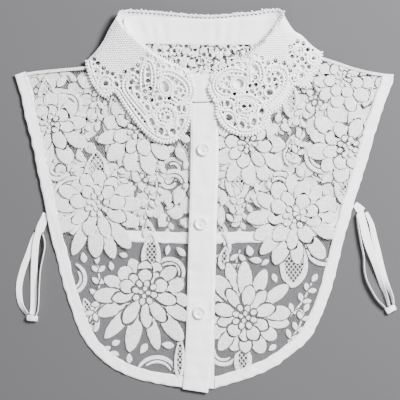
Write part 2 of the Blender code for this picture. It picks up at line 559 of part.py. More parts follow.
def join_side(plan, height, side_fold, down):
    """Brings a sheet's height round to the side fold that it shares with the other sheet."""
    away, _ = nearest(through(side_fold, 2.0), plan.reshape(-1, 2))
    away = away.reshape(plan.shape[:2])
    side = SIDE_HEIGHTS[0] + (SIDE_HEIGHTS[1] - SIDE_HEIGHTS[0]) * down[None, :] ** 0.8
    radius = SIDE_ROUNDING[0] + (SIDE_ROUNDING[1] - SIDE_ROUNDING[0]) * down[None, :]
    return np.dstack([plan, side + (height - side) * rounded(away, radius)])


def make_fall():
    """The cut-work collar: front, back and front in one strip, with its open places cut through."""
    down = np.array(FALL_ROWS)
    even = np.linspace(0, 1, FRONT_COLUMNS)
    toward_side = even + 0.05 * np.sin(math.pi * even)
    both_ends = np.linspace(0, 1, BACK_COLUMNS)
    both_ends = both_ends - 0.11 * np.sin(2 * math.pi * both_ends)
    left = fall_front(LEFT_RIM, LEFT_SCALLOPS, LEFT_FRONT_EDGE, LEFT_SIDE_FOLD, toward_side, down)
    right = fall_front(RIGHT_RIM, RIGHT_SCALLOPS, RIGHT_FRONT_EDGE, RIGHT_SIDE_FOLD, toward_side, down)
    back = fall_back(both_ends, down)
    grid = np.concatenate([left, back[1:-1], right[::-1]])
    made = grid_cloth("collar_fall", grid, FALL, COLLAR_CLOTH)
    cut = made.modifiers.new("open_places", "BOOLEAN")
    cut.operation = "DIFFERENCE"
    cut.object = hole_cutters()
    return made


def hole_cutters():
    """Upright prisms with an oval plan, one for each open place, as one hidden object."""
    shape = bmesh.new()
    front = [(*row, *FRONT_HOLE_SPAN) for row in COLLAR_HOLES]
    back = [(*spot, ROSETTE_HOLE, ROSETTE_HOLE, 0, *BACK_HOLE_SPAN) for spot in BACK_ROSETTES]
    for across, down, long_size, short_size, turn, low, high in front + back:
        made = bmesh.ops.create_cone(
            shape, cap_ends=True, segments=HOLE_SIDES, radius1=0.5, radius2=0.5, depth=1.0
        )["verts"]
        angle = math.radians(-turn)
        for vertex in made:
            x, y = vertex.co.x * long_size, vertex.co.y * short_size
            vertex.co.x = (across - MIDDLE_ACROSS + x * math.cos(angle) - y * math.sin(angle)) * MM
            vertex.co.y = (MIDDLE_DOWN - down + x * math.sin(angle) + y * math.cos(angle)) * MM
            vertex.co.z = (low + (vertex.co.z + 0.5) * (high - low)) * MM
    mesh = bpy.data.meshes.new("collar_hole_cutters")
    shape.to_mesh(mesh)
    shape.free()
    cutter = bpy.data.objects.new("collar_hole_cutters", mesh)
    cutter.hide_render = True
    cutter.display_type = "WIRE"
    bpy.data.collections["cutters"].objects.link(cutter)
    return cutter


def make_buttons():
    """Turned buttons with a raised rim and two holes, on the upper placket."""
    radius = BUTTON_RADIUS
    profile = [
        (0, 1.9), (radius - 2.4, 1.9), (radius - 1.7, 2.4), (radius - 0.7, 2.4), (radius, 1.8), (radius - 0.2, 0.7),
        (radius - 1.8, 0), (0, 0),
    ]
    for name, (across, down, turn) in BUTTONS.items():
        mesh = bpy.data.meshes.new(name)
        mesh.from_pydata([(x * MM, 0, z * MM) for x, z in profile], [(k, k + 1) for k in range(len(profile) - 1)], [])
        made = bpy.data.objects.new(name, mesh)
        made.data.materials.append(material_of(name, BUTTON_RESIN))
        bpy.data.collections["lace_collar"].objects.link(made)
        turned = made.modifiers.new("turned", "SCREW")
        turned.axis = "Z"
        turned.steps = turned.render_steps = 22
        turned.use_merge_vertices = True
        turned.merge_threshold = 0.00005
        turned.use_smooth_shade = True
        under = np.array([(across, down + side * radius) for side in (-1, 0, 1)])
        seat = upper_height(under).max() + PLACKET / 2 + 0.3
        place = to_row([(across, down, seat)])[0]
        made.location = place
        made.rotation_euler = (0, 0, math.radians(turn))
        holes = made.modifiers.new("thread_holes", "BOOLEAN")
        holes.operation = "DIFFERENCE"
        holes.object = thread_hole_cutter(name, place, turn)


def thread_hole_cutter(name, place, turn):
    """Two upright pins where a button's thread holes are."""
    shape = bmesh.new()
    for side in (-0.5, 0.5):
        made = bmesh.ops.create_cone(
            shape,
            cap_ends=True,
            segments=8,
            radius1=BUTTON_HOLE_RADIUS * MM,
            radius2=BUTTON_HOLE_RADIUS * MM,
            depth=8 * MM,
        )["verts"]
        bmesh.ops.translate(shape, verts=made, vec=(side * BUTTON_HOLE_PITCH * MM, 0, 0))
    mesh = bpy.data.meshes.new(name + "_cutter")
    shape.to_mesh(mesh)
    shape.free()
    cutter = bpy.data.objects.new(name + "_cutter", mesh)
    cutter.location = place
    cutter.rotation_euler = (0, 0, math.radians(turn))
    cutter.hide_render = True
    cutter.display_type = "WIRE"
    bpy.data.collections["cutters"].objects.link(cutter)
    return cutter


def make_elastics():
    """Flat elastic runs at each side, and the sewn ends that hold them together."""
    for name, rows in ELASTICS.items():
        route = through(rows, ELASTIC_STEP)
        along = np.gradient(route[:, :2], axis=0)
        along /= np.linalg.norm(along, axis=1)[:, None]
        tilt, width = np.radians(route[:, 3]), route[:, 4]
        side = np.column_stack([along[:, 1] * np.cos(tilt), -along[:, 0] * np.cos(tilt), np.sin(tilt)])
        half = side * width[:, None] / 2
        grid = np.stack([route[:, :3] - half, route[:, :3] + half], axis=1)
        grid_cloth(name, grid, ELASTIC, ELASTIC_CLOTH)
    for name, (across, down, long_size, short_size, height, turn) in TACKS.items():
        shape = bmesh.new()
        bmesh.ops.create_cube(shape, size=1)
        bmesh.ops.scale(shape, verts=shape.verts, vec=(long_size * MM, short_size * MM, height * MM))
        bmesh.ops.bevel(shape, geom=shape.edges[:], offset=1.2 * MM, segments=2, profile=0.5, affect="EDGES")
        mesh = bpy.data.meshes.new(name)
        shape.to_mesh(mesh)
        shape.free()
        mesh.shade_smooth()
        made = bpy.data.objects.new(name, mesh)
        made.data.materials.append(material_of(name, ELASTIC_CLOTH))
        made.location = to_row([(across, down, height / 2)])[0]
        made.rotation_euler = (0, 0, math.radians(-turn))
        bpy.data.collections["lace_collar"].objects.link(made)


def main():
    for old in list(bpy.data.objects):
        bpy.data.objects.remove(old)
    for name in ("lace_collar", "cutters"):
        made = bpy.data.collections.new(name)
        bpy.context.scene.collection.children.link(made)
    make_lace_panels()
    make_bindings()
    make_placket()
    make_stand()
    make_fall()
    make_buttons()
    make_elastics()


main()
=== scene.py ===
"""A detachable lace collar laid flat with its front up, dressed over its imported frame.

The lace is drawn as a lace designer drafts it: petals, leaves and scrolls are closed outlines that fill
with cloth, a thin slit parts each from its neighbours, and a net of threads spans what is left open.
The cotton pieces are strips between their two long edges, and the collar is a corded sheet with its
open places cut out. Heights come from the frame's own solids, so each layer lies where it was built.

Points in the tables are millimetres on the table top: across from the left and down from the far edge.
"""

import math
from collections import namedtuple

import bpy
import numpy as np
from bpy.props import FloatProperty, FloatVectorProperty, IntProperty, PointerProperty
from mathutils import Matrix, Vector
from mathutils.bvhtree import BVHTree
from mathutils.geometry import delaunay_2d_cdt
from mathutils.kdtree import KDTree


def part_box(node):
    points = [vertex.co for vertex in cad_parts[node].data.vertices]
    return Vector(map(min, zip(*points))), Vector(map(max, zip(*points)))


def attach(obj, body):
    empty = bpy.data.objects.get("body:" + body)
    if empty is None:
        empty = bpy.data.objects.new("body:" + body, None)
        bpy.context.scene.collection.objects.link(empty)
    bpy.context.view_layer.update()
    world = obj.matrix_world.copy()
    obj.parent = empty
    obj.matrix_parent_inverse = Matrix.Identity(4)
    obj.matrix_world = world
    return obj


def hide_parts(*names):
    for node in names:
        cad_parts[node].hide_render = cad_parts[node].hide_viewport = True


bl_info = {
    "name": "Lace Collar",
    "version": (1, 0, 0),
    "blender": (4, 5, 0),
    "location": "3D View > Sidebar > Lace Collar",
    "description": "Makes a detachable lace collar with lace bib panels, laid flat on a table",
    "category": "Object",
}

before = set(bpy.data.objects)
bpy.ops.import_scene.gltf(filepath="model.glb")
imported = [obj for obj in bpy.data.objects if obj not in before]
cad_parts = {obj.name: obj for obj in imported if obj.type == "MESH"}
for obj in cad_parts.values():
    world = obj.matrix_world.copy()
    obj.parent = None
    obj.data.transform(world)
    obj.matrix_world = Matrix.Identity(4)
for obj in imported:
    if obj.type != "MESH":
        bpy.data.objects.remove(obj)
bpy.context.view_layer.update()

MM = 0.001
MIDDLE_ACROSS = 205.5
MIDDLE_DOWN = 202.0

# Outer edges of the fronts and the back
LEFT_EDGE = [
    (14.5, 75.5), (20.7, 94.4), (25.2, 116.6), (32.1, 144.0), (37.5, 172.0), (43.6, 200.0),
    (48.7, 226.3), (51.6, 239.3), (57.1, 259.0), (62.5, 282.0), (68.8, 301.8), (75.0, 320.5),
    (84.2, 340.3), (99.5, 358.2), (121.2, 373.0), (144.0, 381.0), (169.6, 385.8), (182.0, 387.5),
]
RIGHT_EDGE = [
    (393.8, 74.5), (392.8, 82.0), (385.6, 100.8), (376.0, 130.0), (365.8, 165.8), (355.0, 200.0),
    (349.2, 221.7), (343.6, 240.8), (340.0, 256.0), (335.2, 275.3), (328.8, 297.0), (317.3, 325.0),
    (307.1, 341.6), (291.8, 354.3), (276.5, 365.8), (258.7, 374.5), (236.0, 382.5), (214.5, 388.5),
]
BACK_LEFT_EDGE = [
    (15.8, 76.3), (22.0, 95.0), (26.5, 117.0), (33.3, 144.0), (38.7, 172.0), (45.6, 205.0),
]
BACK_RIGHT_EDGE = [
    (392.3, 75.5), (391.4, 82.5), (384.3, 101.0), (374.8, 130.0), (364.6, 165.8), (354.2, 198.0),
]
BACK_HEM = [
    (49.0, 218.5), (60.0, 227.0), (80.0, 234.5), (115.0, 241.0), (160.0, 243.2), (205.0, 244.0),
    (250.0, 243.0), (290.0, 240.8), (320.0, 234.5), (338.0, 225.0), (349.5, 213.5),
]
LEFT_SHOULDER = [(14.5, 75.5), (33.0, 71.0), (61.0, 68.0), (87.0, 65.5), (110.0, 59.5), (128.5, 51.5)]
RIGHT_SHOULDER = [
    (393.8, 74.5), (369.3, 70.6), (352.0, 66.2), (339.0, 61.8), (321.0, 56.4), (300.0, 53.0), (279.0, 49.5),
]
LEFT_FOOT = (182.9, 376.2)
RIGHT_FOOT = (214.7, 377.2)
BINDING_WIDTH = 11.5
TUCKED = 2.0

# The placket's long edges
UPPER_LEFT = [
    (190.6, 103.5), (190.8, 120.0), (190.0, 190.0), (188.5, 240.0), (187.0, 300.0), (185.6, 345.0),
    (182.6, 388.6),
]
UPPER_RIGHT = [
    (215.6, 103.0), (216.4, 130.0), (217.0, 165.0), (215.5, 200.0), (214.4, 260.0), (213.3, 300.0),
    (211.4, 350.0),
    (208.0, 392.5),
]
UNDER_LEFT = [(194.0, 104.5), (193.6, 160.0), (192.0, 240.0), (190.0, 300.0), (188.0, 386.0)]
UNDER_RIGHT = [
    (218.0, 101.5), (218.6, 165.0), (217.0, 200.0), (215.8, 260.0), (214.8, 300.0), (213.9, 388.6),
]

# The neckband from its under end round the back to its over end:
# top across, top down, top height, foot across, foot down, foot height
STAND_ROWS = [
    (196.0, 77.5, 10.4, 196.0, 103.0, 6.3),
    (214.0, 74.5, 10.9, 215.0, 100.6, 6.6),
    (233.5, 66.0, 13.4, 236.0, 92.0, 7.4),
    (252.0, 55.5, 14.8, 255.0, 78.0, 8.4),
    (264.5, 42.5, 15.2, 268.5, 63.0, 8.8),
    (273.0, 30.0, 14.6, 276.0, 53.0, 8.2),
    (277.6, 21.0, 11.6, 273.0, 47.0, 5.6),
    (271.0, 16.8, 8.4, 262.0, 45.4, 3.8),
    (255.0, 17.4, 7.4, 245.0, 44.8, 3.2),
    (205.0, 19.6, 7.0, 205.0, 45.2, 3.1),
    (160.0, 17.8, 7.4, 163.0, 44.2, 3.2),
    (131.5, 16.8, 8.4, 143.0, 44.2, 3.8),
    (124.3, 21.0, 11.6, 132.0, 47.4, 5.6),
    (128.5, 31.5, 14.6, 130.0, 54.0, 8.2),
    (141.0, 45.5, 15.2, 138.0, 66.0, 8.8),
    (153.5, 56.0, 14.8, 152.0, 82.0, 8.4),
    (174.0, 67.6, 13.4, 170.0, 95.0, 7.4),
    (192.0, 74.6, 12.6, 191.0, 102.0, 8.2),
    (213.6, 74.2, 12.7, 214.6, 101.4, 8.4),
]
STAND_BACK = slice(6, 13)
STAND_LEFT = slice(12, 18)
STAND_RIGHT = slice(1, 7)

# The collar's rim at the neckband, its free edges and its side folds
LEFT_RIM = [
    (191.5, 72.5), (183.0, 68.6), (172.0, 63.2), (163.0, 58.6), (152.5, 52.0), (142.5, 43.6), (132.0, 35.0),
    (123.5, 25.0), (118.3, 16.0),
]
RIGHT_RIM = [
    (214.5, 70.7), (222.0, 66.8), (232.7, 62.3), (242.5, 57.8), (251.4, 51.0), (259.5, 44.5), (267.0, 36.0),
    (273.5, 28.5), (279.0, 21.0), (283.0, 15.2),
]
BACK_RIM = [
    (118.3, 16.0), (121.0, 12.6), (131.0, 11.6), (150.0, 12.5), (165.0, 13.7), (190.0, 16.0), (205.0, 16.7),
    (220.0, 16.5), (234.0, 15.0), (256.0, 13.2), (268.0, 10.9), (277.0, 10.8), (281.6, 12.4), (283.0, 15.2),
]
LEFT_FRONT_EDGE = [
    (191.5, 72.5), (192.6, 78.0), (194.4, 84.0), (195.3, 91.0), (193.6, 99.0), (190.4, 104.5),
    (191.4, 111.5),
    (190.0, 119.5),
]
RIGHT_FRONT_EDGE = [
    (214.5, 70.7), (210.5, 76.0), (207.9, 84.0), (209.6, 93.0), (214.0, 100.0), (216.6, 106.0),
    (215.8, 112.5),
    (217.4, 117.0),
]
LEFT_SCALLOPS = [
    (190.0, 119.5), (186.6, 128.5), (181.5, 136.2), (174.5, 140.9), (166.0, 142.9), (157.5, 141.0),
    (150.2, 136.4),
    (144.0, 131.0), (138.5, 125.0), (133.0, 118.0), (127.5, 110.0), (122.5, 102.5), (118.4, 96.0),
    (114.2, 91.4),
    (110.2, 94.6), (105.6, 96.9), (100.6, 94.0), (96.0, 88.0), (91.8, 81.5), (89.2, 74.0), (87.3, 67.0),
    (86.3, 61.5),
]
RIGHT_SCALLOPS = [
    (217.4, 117.0), (221.8, 124.6), (229.0, 130.6), (238.0, 134.6), (247.0, 135.6), (256.0, 133.6),
    (263.6, 128.4),
    (268.3, 120.6), (271.0, 112.6), (277.4, 108.8), (283.2, 102.4), (288.4, 95.0), (292.0, 87.8),
    (295.8, 84.6),
    (301.4, 87.4), (307.2, 85.6), (310.6, 80.4), (311.8, 74.8), (316.0, 71.8), (319.4, 66.0), (321.0, 59.0),
    (321.6, 52.6),
]
LEFT_SIDE_FOLD = [(118.3, 16.0), (109.2, 30.4), (103.8, 41.2), (95.0, 52.8), (86.3, 61.5)]
RIGHT_SIDE_FOLD = [(283.0, 15.2), (293.0, 30.6), (301.5, 36.0), (312.0, 46.2), (321.6, 52.6)]
BACK_FALL_EDGE = [
    (86.3, 61.5), (92.0, 70.5), (110.0, 78.0), (150.0, 83.5), (205.0, 85.5), (258.0, 82.0), (300.0, 73.0),
    (316.0, 64.0), (321.6, 52.6),
]

# Open places in the collar: across, down, long size, short size, turn in degrees from across
COLLAR_HOLES = [
    (238.6, 84.5, 9.0, 8.4, 0), (268.8, 93.0, 7.4, 5.6, 0), (228.5, 118.0, 7.6, 6.0, 25),
    (241.5, 125.2, 7.4, 4.8, 80),
    (253.3, 122.4, 7.6, 5.0, 105), (261.2, 112.0, 7.2, 4.6, 100), (221.2, 104.4, 6.0, 4.2, 80),
    (226.9, 104.2, 6.0, 4.2, 100), (254.0, 69.4, 5.6, 4.8, 90), (267.6, 81.2, 6.4, 4.2, -60),
    (275.2, 87.0, 7.0, 4.2, 115), (238.0, 111.4, 6.2, 4.4, -40), (250.6, 106.0, 5.0, 4.4, 0),
    (294.0, 80.4, 8.0, 4.4, 48), (301.6, 68.0, 4.8, 4.4, 0),
    (165.2, 87.4, 11.0, 6.4, 75), (184.4, 109.2, 6.0, 4.4, 80), (178.6, 108.4, 7.0, 4.2, 75),
    (183.0, 96.8, 4.8, 4.2, 0), (181.2, 122.4, 7.4, 6.0, 100), (172.6, 132.0, 7.0, 6.0, 60),
    (160.6, 131.6, 7.6, 5.2, 100), (151.6, 122.4, 8.0, 5.6, 70), (167.6, 118.4, 5.0, 4.4, 30),
    (147.2, 108.0, 5.6, 4.2, 60), (159.8, 99.0, 6.6, 4.2, 60), (137.6, 96.6, 7.2, 4.2, 65),
    (105.8, 84.0, 5.0, 4.6, 0), (116.0, 84.6, 6.0, 4.2, 50),
]
BACK_ROSETTES = [
    (124.0, 70.0), (152.0, 73.5), (180.0, 75.0), (208.0, 75.5), (236.0, 74.5), (264.0, 71.0),
    (288.0, 66.0),
]
ROSETTE_HOLE = 7.0

BUTTONS = {
    "button_top": (203.5, 149.5, 90),
    "button_middle": (201.0, 223.5, 65),
    "button_bottom": (199.5, 312.5, 55),
}

# Elastic runs: across, down, height, tilt in degrees from flat, width
ELASTICS = {
    "elastic_left_tab": [
        (46.1, 213.4, 0.75, 0, 6.6), (44.0, 219.4, 0.75, 0, 7.6), (41.6, 225.0, 0.75, 0, 8.4),
        (39.4, 231.0, 0.75, 0, 8.4),
    ],
    "elastic_left_outer": [
        (36.6, 233.4, 0.6, 0, 6.0), (33.0, 241.0, 0.5, 0, 6.0), (28.6, 253.6, 0.5, 0, 6.0),
        (22.8, 269.6, 0.5, 0, 6.2),
        (19.4, 284.0, 0.6, 0, 6.2), (19.3, 295.0, 1.0, 8, 6.0), (21.6, 305.4, 1.8, 25, 5.6),
        (27.4, 314.0, 2.4, 50, 5.0),
    ],
    "elastic_left_inner": [
        (39.2, 229.4, 2.15, 0, 6.4), (36.2, 241.0, 2.1, 0, 6.6), (35.0, 252.0, 2.2, 0, 6.6),
        (34.4, 262.5, 2.1, 0, 6.6),
        (34.0, 275.0, 1.2, 0, 6.6), (33.9, 286.0, 0.6, 0, 6.6), (33.8, 298.2, 0.6, 0, 6.6),
        (33.2, 308.0, 0.9, 0, 6.2),
        (32.2, 314.5, 1.4, 0, 5.4),
    ],
    "elastic_left_side": [
        (42.5, 234.0, 2.9, 78, 5.2), (44.3, 239.5, 3.0, 78, 5.2), (44.8, 247.0, 3.1, 80, 5.4),
        (43.0, 257.0, 3.1, 80, 5.4),
        (40.8, 268.0, 3.1, 82, 5.4), (39.6, 282.0, 3.1, 84, 5.4), (39.0, 298.0, 3.1, 84, 5.4),
        (38.2, 309.0, 3.0, 84, 5.2),
        (36.2, 315.2, 2.9, 84, 5.0),
    ],
    "elastic_right_tab": [
        (354.6, 204.5, 0.75, 0, 6.0), (357.6, 207.0, 0.75, 0, 7.4), (361.4, 211.4, 0.75, 0, 9.4),
    ],
    "elastic_right_outer": [
        (360.0, 210.4, 2.15, 0, 6.4), (363.6, 226.0, 3.2, 0, 7.6), (366.0, 237.0, 4.0, 0, 8.2),
        (370.0, 250.0, 4.4, 0, 7.6),
        (374.6, 262.0, 4.2, 8, 7.0), (378.6, 274.0, 3.6, 20, 6.4), (382.0, 285.0, 3.2, 40, 6.0),
        (386.0, 295.4, 3.0, 62, 5.4),
        (388.9, 305.9, 2.8, 70, 5.0),
    ],
    "elastic_right_inner": [
        (366.0, 212.4, 2.0, 0, 3.6), (371.2, 224.0, 1.4, 0, 5.0), (374.0, 237.0, 1.2, 0, 6.0),
        (377.6, 251.0, 1.2, 0, 6.0),
        (380.8, 264.0, 1.2, 0, 5.6), (384.0, 276.0, 1.4, 12, 5.4), (388.0, 287.0, 2.0, 35, 5.2),
        (391.8, 296.0, 2.6, 62, 5.0),
        (393.2, 303.6, 2.7, 72, 4.8),
    ],
    "elastic_right_side": [
        (356.5, 214.0, 2.9, 78, 5.0), (358.2, 228.0, 3.0, 80, 5.4), (360.6, 242.0, 3.1, 80, 5.6),
        (363.4, 256.0, 3.1, 80, 5.6),
        (363.9, 268.0, 3.1, 80, 5.6), (366.0, 279.0, 3.1, 80, 5.6), (370.6, 289.0, 3.1, 80, 5.6),
        (377.0, 299.6, 3.1, 78, 5.4),
        (385.4, 308.2, 3.0, 76, 5.0),
    ],
}
# Sewn ends of the elastics: across, down, long size, short size, height, turn
TACKS = {
    "elastic_left_tack": (32.6, 318.2, 10.4, 5.6, 4.2, 6),
    "elastic_right_tack": (390.6, 309.2, 10.6, 6.0, 4.4, -28),
}

# Lace flowers: across, down, radius, turn, heading of the longest petals and how much longer they are,
# outer petals, inner petals
LEFT_FLOWERS = [
    (144.5, 292.5, 48, 8, 92, 0.30, 15, 10), (97.0, 205.5, 45, 20, 85, 0.24, 14, 9),
    (49.5, 124.0, 38, 0, 70, 0.18, 12, 8), (137.5, 129.0, 40, 14, 80, 0.16, 12, 8),
]
RIGHT_FLOWERS = [
    (244.5, 317.0, 47, 12, -92, 0.20, 15, 10), (294.5, 217.5, 46, 4, 100, 0.10, 14, 9),
    (347.5, 147.0, 42, 16, -70, 0.12, 12, 8), (247.0, 143.5, 38, 0, 60, 0.14, 12, 8),
    (343.0, 79.0, 31, 9, 40, 0.08, 11, 7),
]
# Leaves with a coarse mesh in their middle: across, down, length, width, turn of the tip
LEFT_LEAVES = [
    (97.0, 150.0, 42, 25, 91), (151.5, 232.0, 44, 20, 91), (84.0, 298.0, 36, 15, 70),
    (46.0, 78.0, 34, 20, 85),
    (180.5, 336.0, 44, 11, 92), (112.0, 96.0, 30, 16, 70), (178.0, 60.0, 30, 14, 90),
]
RIGHT_LEAVES = [
    (236.5, 157.0, 44, 24, 88), (346.5, 158.0, 46, 20, 95), (296.5, 236.0, 52, 28, 95),
    (243.5, 340.0, 36, 18, 92),
    (292.0, 84.0, 34, 17, 92), (226.0, 246.0, 24, 11, 100), (372.0, 84.0, 24, 10, 110),
    (291.0, 136.0, 30, 13, 95),
]
# Scrolls: across, down, radius, start, sweep
LEFT_SCROLLS = [
    (68.5, 106.0, 16, 190, 210), (74.0, 196.0, 20, 180, 200), (175.0, 184.0, 15, 170, 200),
    (170.5, 274.0, 17, 190, 200),
    (70.0, 280.0, 17, -70, 170), (160.0, 378.0, 24, 205, 130), (56.0, 168.0, 12, 20, 230),
    (168.0, 180.0, 8, 20, 200),
]
RIGHT_SCROLLS = [
    (321.0, 154.0, 20, 10, 190), (322.0, 246.0, 20, 40, 140), (214.0, 248.0, 17, -60, 170),
    (222.0, 350.0, 16, 20, 180),
    (280.0, 186.0, 14, 180, 210), (262.0, 196.0, 12, 300, 230), (327.0, 82.0, 14, 30, 200),
    (214.0, 150.0, 26, 20, 60),
]
# Sprays of leaflets: start across, start down, end across, end down, pairs
LEFT_SPRAYS = [
    (97.0, 300.0, 97.0, 264.0, 3), (104.0, 300.0, 86.0, 330.0, 3), (116.0, 168.0, 128.0, 192.0, 3),
    (150.0, 196.0, 146.0, 228.0, 3), (62.0, 208.0, 70.0, 226.0, 2), (88.0, 112.0, 84.0, 140.0, 3),
    (102.0, 86.0, 98.0, 122.0, 3), (160.0, 162.0, 158.0, 196.0, 3), (86.0, 344.0, 110.0, 352.0, 2),
]
RIGHT_SPRAYS = [
    (290.0, 316.0, 312.0, 282.0, 3), (288.0, 342.0, 304.0, 312.0, 3), (232.0, 226.0, 236.0, 196.0, 3),
    (240.0, 250.0, 238.0, 272.0, 2), (318.0, 190.0, 330.0, 206.0, 3), (290.0, 164.0, 300.0, 140.0, 3),
    (308.0, 100.0, 300.0, 128.0, 3), (330.0, 100.0, 326.0, 128.0, 2), (262.0, 150.0, 268.0, 180.0, 3),
]
BACK_LATTICE = (72.0, 86.0)
BACK_ROOM = 3.8
NECK_SLITS = 2.3
NECK_WINDOW = (136.0, 44.0, 270.0, 88.0)
# The part of the back that shows inside the neck
BACK_NECK_FLOWERS = [
    (170.0, 57.0, 24, 10), (204.0, 62.0, 27, 30), (238.0, 55.0, 23, 0), (216.0, 92.0, 22, 50),
]
BACK_NECK_SPRAYS = [
    (146.0, 50.0, 162.0, 62.0, 3), (196.0, 46.0, 198.0, 62.0, 2), (252.0, 46.0, 262.0, 50.0, 2),
    (186.0, 66.0, 192.0, 82.0, 2),
    (150.0, 46.0, 172.0, 44.0, 3), (226.0, 64.0, 238.0, 74.0, 2),
]

SLIT = 1.05
UPPER_SLITS = 0.80
SEAM_WIDTH = 3.2
# Stretches of net kept clear so that the back's hem shows: from across, from down, to across, to down
CLEAR_WINDOWS = [(117.0, 229.0, 186.0, 243.5), (216.0, 229.0, 262.0, 243.5)]
COARSE_PITCH = 3.4
COARSE_THREAD = 0.85
COARSE_TALL = 0.42
# The net's two directions of thread, the coarse mesh's, and the steps and spans that they are drawn in
NET_ANGLES = (58, 122)
COARSE_ANGLES = (52, 128)
NET_STEP = 0.35
NET_SPAN = 3.6
# Thickness of the frame's solids: lace, back bindings, front bindings, placket strips and neckband
LACE_THICKNESS = 1.0
BACK_BINDING = 1.2
BINDING = 1.4
PLACKET = 1.4
STAND = 1.2
PLACKET_WIDTH = 26
# The underside of a strip stays this far over the table
LOWEST = 0.02
EDGE_STEP = 5.0
NECK_STEP = 4.0
VIEW_CENTRE = (200.0, 200.0)
# What a lace draft's map says of a place: net or nothing, filled cloth, coarse mesh, a slit in cloth
OPEN, CLOTH, MESHED, CUT = range(4)
OUTSIDE = -1
Motif = namedtuple("Motif", "outline slit kind", defaults=(SLIT, CLOTH))
Shape = namedtuple("Shape", "points faces")
Front = namedtuple(
    "Front",
    "side edge foot placket placket_top stand neck_top neck_inner shoulder shoulder_inner "
    "flowers leaves scrolls sprays seed",
)
FRONTS = {
    "left": Front(
        1, LEFT_EDGE, LEFT_FOOT, UPPER_LEFT, 108, STAND_LEFT, 54, 190, LEFT_SHOULDER, 125,
        LEFT_FLOWERS, LEFT_LEAVES, LEFT_SCROLLS, LEFT_SPRAYS, 11,
    ),
    "right": Front(
        -1, RIGHT_EDGE, RIGHT_FOOT, UNDER_RIGHT, 105, STAND_RIGHT, 57, 219, RIGHT_SHOULDER, 281,
        RIGHT_FLOWERS, RIGHT_LEAVES, RIGHT_SCROLLS, RIGHT_SPRAYS, 12,
    ),
}


class LaceSettings(bpy.types.PropertyGroup):
    # Painted shade: the back is the same lace as the fronts. This colour is darker and warmer to stand for
    # the shade it lies in under the fronts and their net.
    under: FloatVectorProperty(
        name="Under", description="Colour of the back lace", subtype="COLOR", min=0, max=1,
        default=(0.67, 0.662, 0.65),
    )
    colour: FloatVectorProperty(
        name="Colour", description="Colour of the machine lace", subtype="COLOR", min=0, max=1,
        default=(0.70, 0.70, 0.72),
    )
    thickness: FloatProperty(
        name="Thickness", description="Thickness of the filled cloth", unit="LENGTH", default=0.0005
    )
    net_pitch: FloatProperty(
        name="Net pitch", description="Distance between net threads", unit="LENGTH", default=0.0019
    )
    net_thread: FloatProperty(
        name="Net thread", description="Width of a net thread", unit="LENGTH", default=0.00006
    )
    rim: FloatProperty(
        name="Rim", description="Height of the cord round each petal", unit="LENGTH", default=0.00028
    )
    dome: FloatProperty(name="Dome", description="Rise of a petal's middle", unit="LENGTH", default=0.0003)
    room: FloatProperty(
        name="Open room", description="Net this far from cloth gets a leaf", unit="LENGTH", default=0.0048
    )
    sway: FloatProperty(
        name="Sway", description="Rise of the soft waves in the cloth", unit="LENGTH", default=0.0006
    )


class CottonSettings(bpy.types.PropertyGroup):
    colour: FloatVectorProperty(
        name="Colour", description="Colour of the cotton", subtype="COLOR", min=0, max=1,
        default=(0.86, 0.86, 0.88),
    )
    pucker: FloatProperty(
        name="Pucker", description="Height of the seam puckers", unit="LENGTH", default=0.00035
    )
    stitch_pitch: FloatProperty(
        name="Stitch pitch", description="Length of a stitch", unit="LENGTH", default=0.0026
    )


class FallSettings(bpy.types.PropertyGroup):
    colour: FloatVectorProperty(
        name="Colour", description="Colour of the corded lace", subtype="COLOR", min=0, max=1,
        default=(0.84, 0.84, 0.845),
    )
    thickness: FloatProperty(
        name="Thickness", description="Thickness of the sheet", unit="LENGTH", default=0.0010
    )
    cord: FloatProperty(
        name="Cord", description="Radius of the raised cords", unit="LENGTH", default=0.00090
    )
    picot: FloatProperty(
        name="Picot", description="Radius of the edge beads", unit="LENGTH", default=0.00135
    )


class TrimSettings(bpy.types.PropertyGroup):
    button_colour: FloatVectorProperty(
        name="Button colour", description="Colour of the buttons", subtype="COLOR", min=0, max=1,
        default=(0.86, 0.86, 0.87),
    )
    elastic_colour: FloatVectorProperty(
        name="Elastic colour", description="Colour of the elastic", subtype="COLOR", min=0, max=1,
        default=(0.88, 0.88, 0.87),
    )
    ribs: IntProperty(name="Ribs", description="Ribs across the elastic", default=5, min=2, max=9)


class StageSettings(bpy.types.PropertyGroup):
    table_colour: FloatVectorProperty(
        name="Table colour", description="Colour of the table", subtype="COLOR", min=0, max=1,
        default=(0.061, 0.060, 0.065),
    )
    view_width: FloatProperty(
        name="View width", description="Width of the view", unit="LENGTH", default=0.400
    )
    lens: FloatProperty(name="Lens", description="Focal length in millimetres", default=240.0, min=20)


def through(rows, step):
    """Points about step apart on a smooth curve through the rows."""
    rows = np.array(rows, float)
    padded = np.vstack([2 * rows[0] - rows[1], rows, 2 * rows[-1] - rows[-2]])
    share = np.linspace(0, 1, 12, endpoint=False)[:, None]
    spans = []
    for a, b, c, d in zip(padded, padded[1:], padded[2:], padded[3:]):
        bend, twist = 2 * a - 5 * b + 4 * c - d, 3 * b - a - 3 * c + d
        spans.append(0.5 * (2 * b + (c - a) * share + bend * share**2 + twist * share**3))
    return evenly(np.vstack([*spans, rows[-1:]]), step)


def lengths(route):
    """Distance along a route in plan at each of its points."""
    return np.concatenate([[0], np.cumsum(np.linalg.norm(np.diff(route[:, :2], axis=0), axis=1))])


def at_lengths(dense, length, wanted):
    """A dense route's rows at the wanted distances along it."""
    return np.stack([np.interp(wanted, length, dense[:, k]) for k in range(dense.shape[1])], axis=1)


def evenly(route, step):
    """A route's own line with points about step apart."""
    length = lengths(route)
    return at_lengths(route, length, np.linspace(0, length[-1], max(2, round(length[-1] / step) + 1)))


def unit(vectors):
    """The vectors scaled to a length of 1."""
    return vectors / np.maximum(np.linalg.norm(vectors, axis=-1), 1e-9)[..., None]


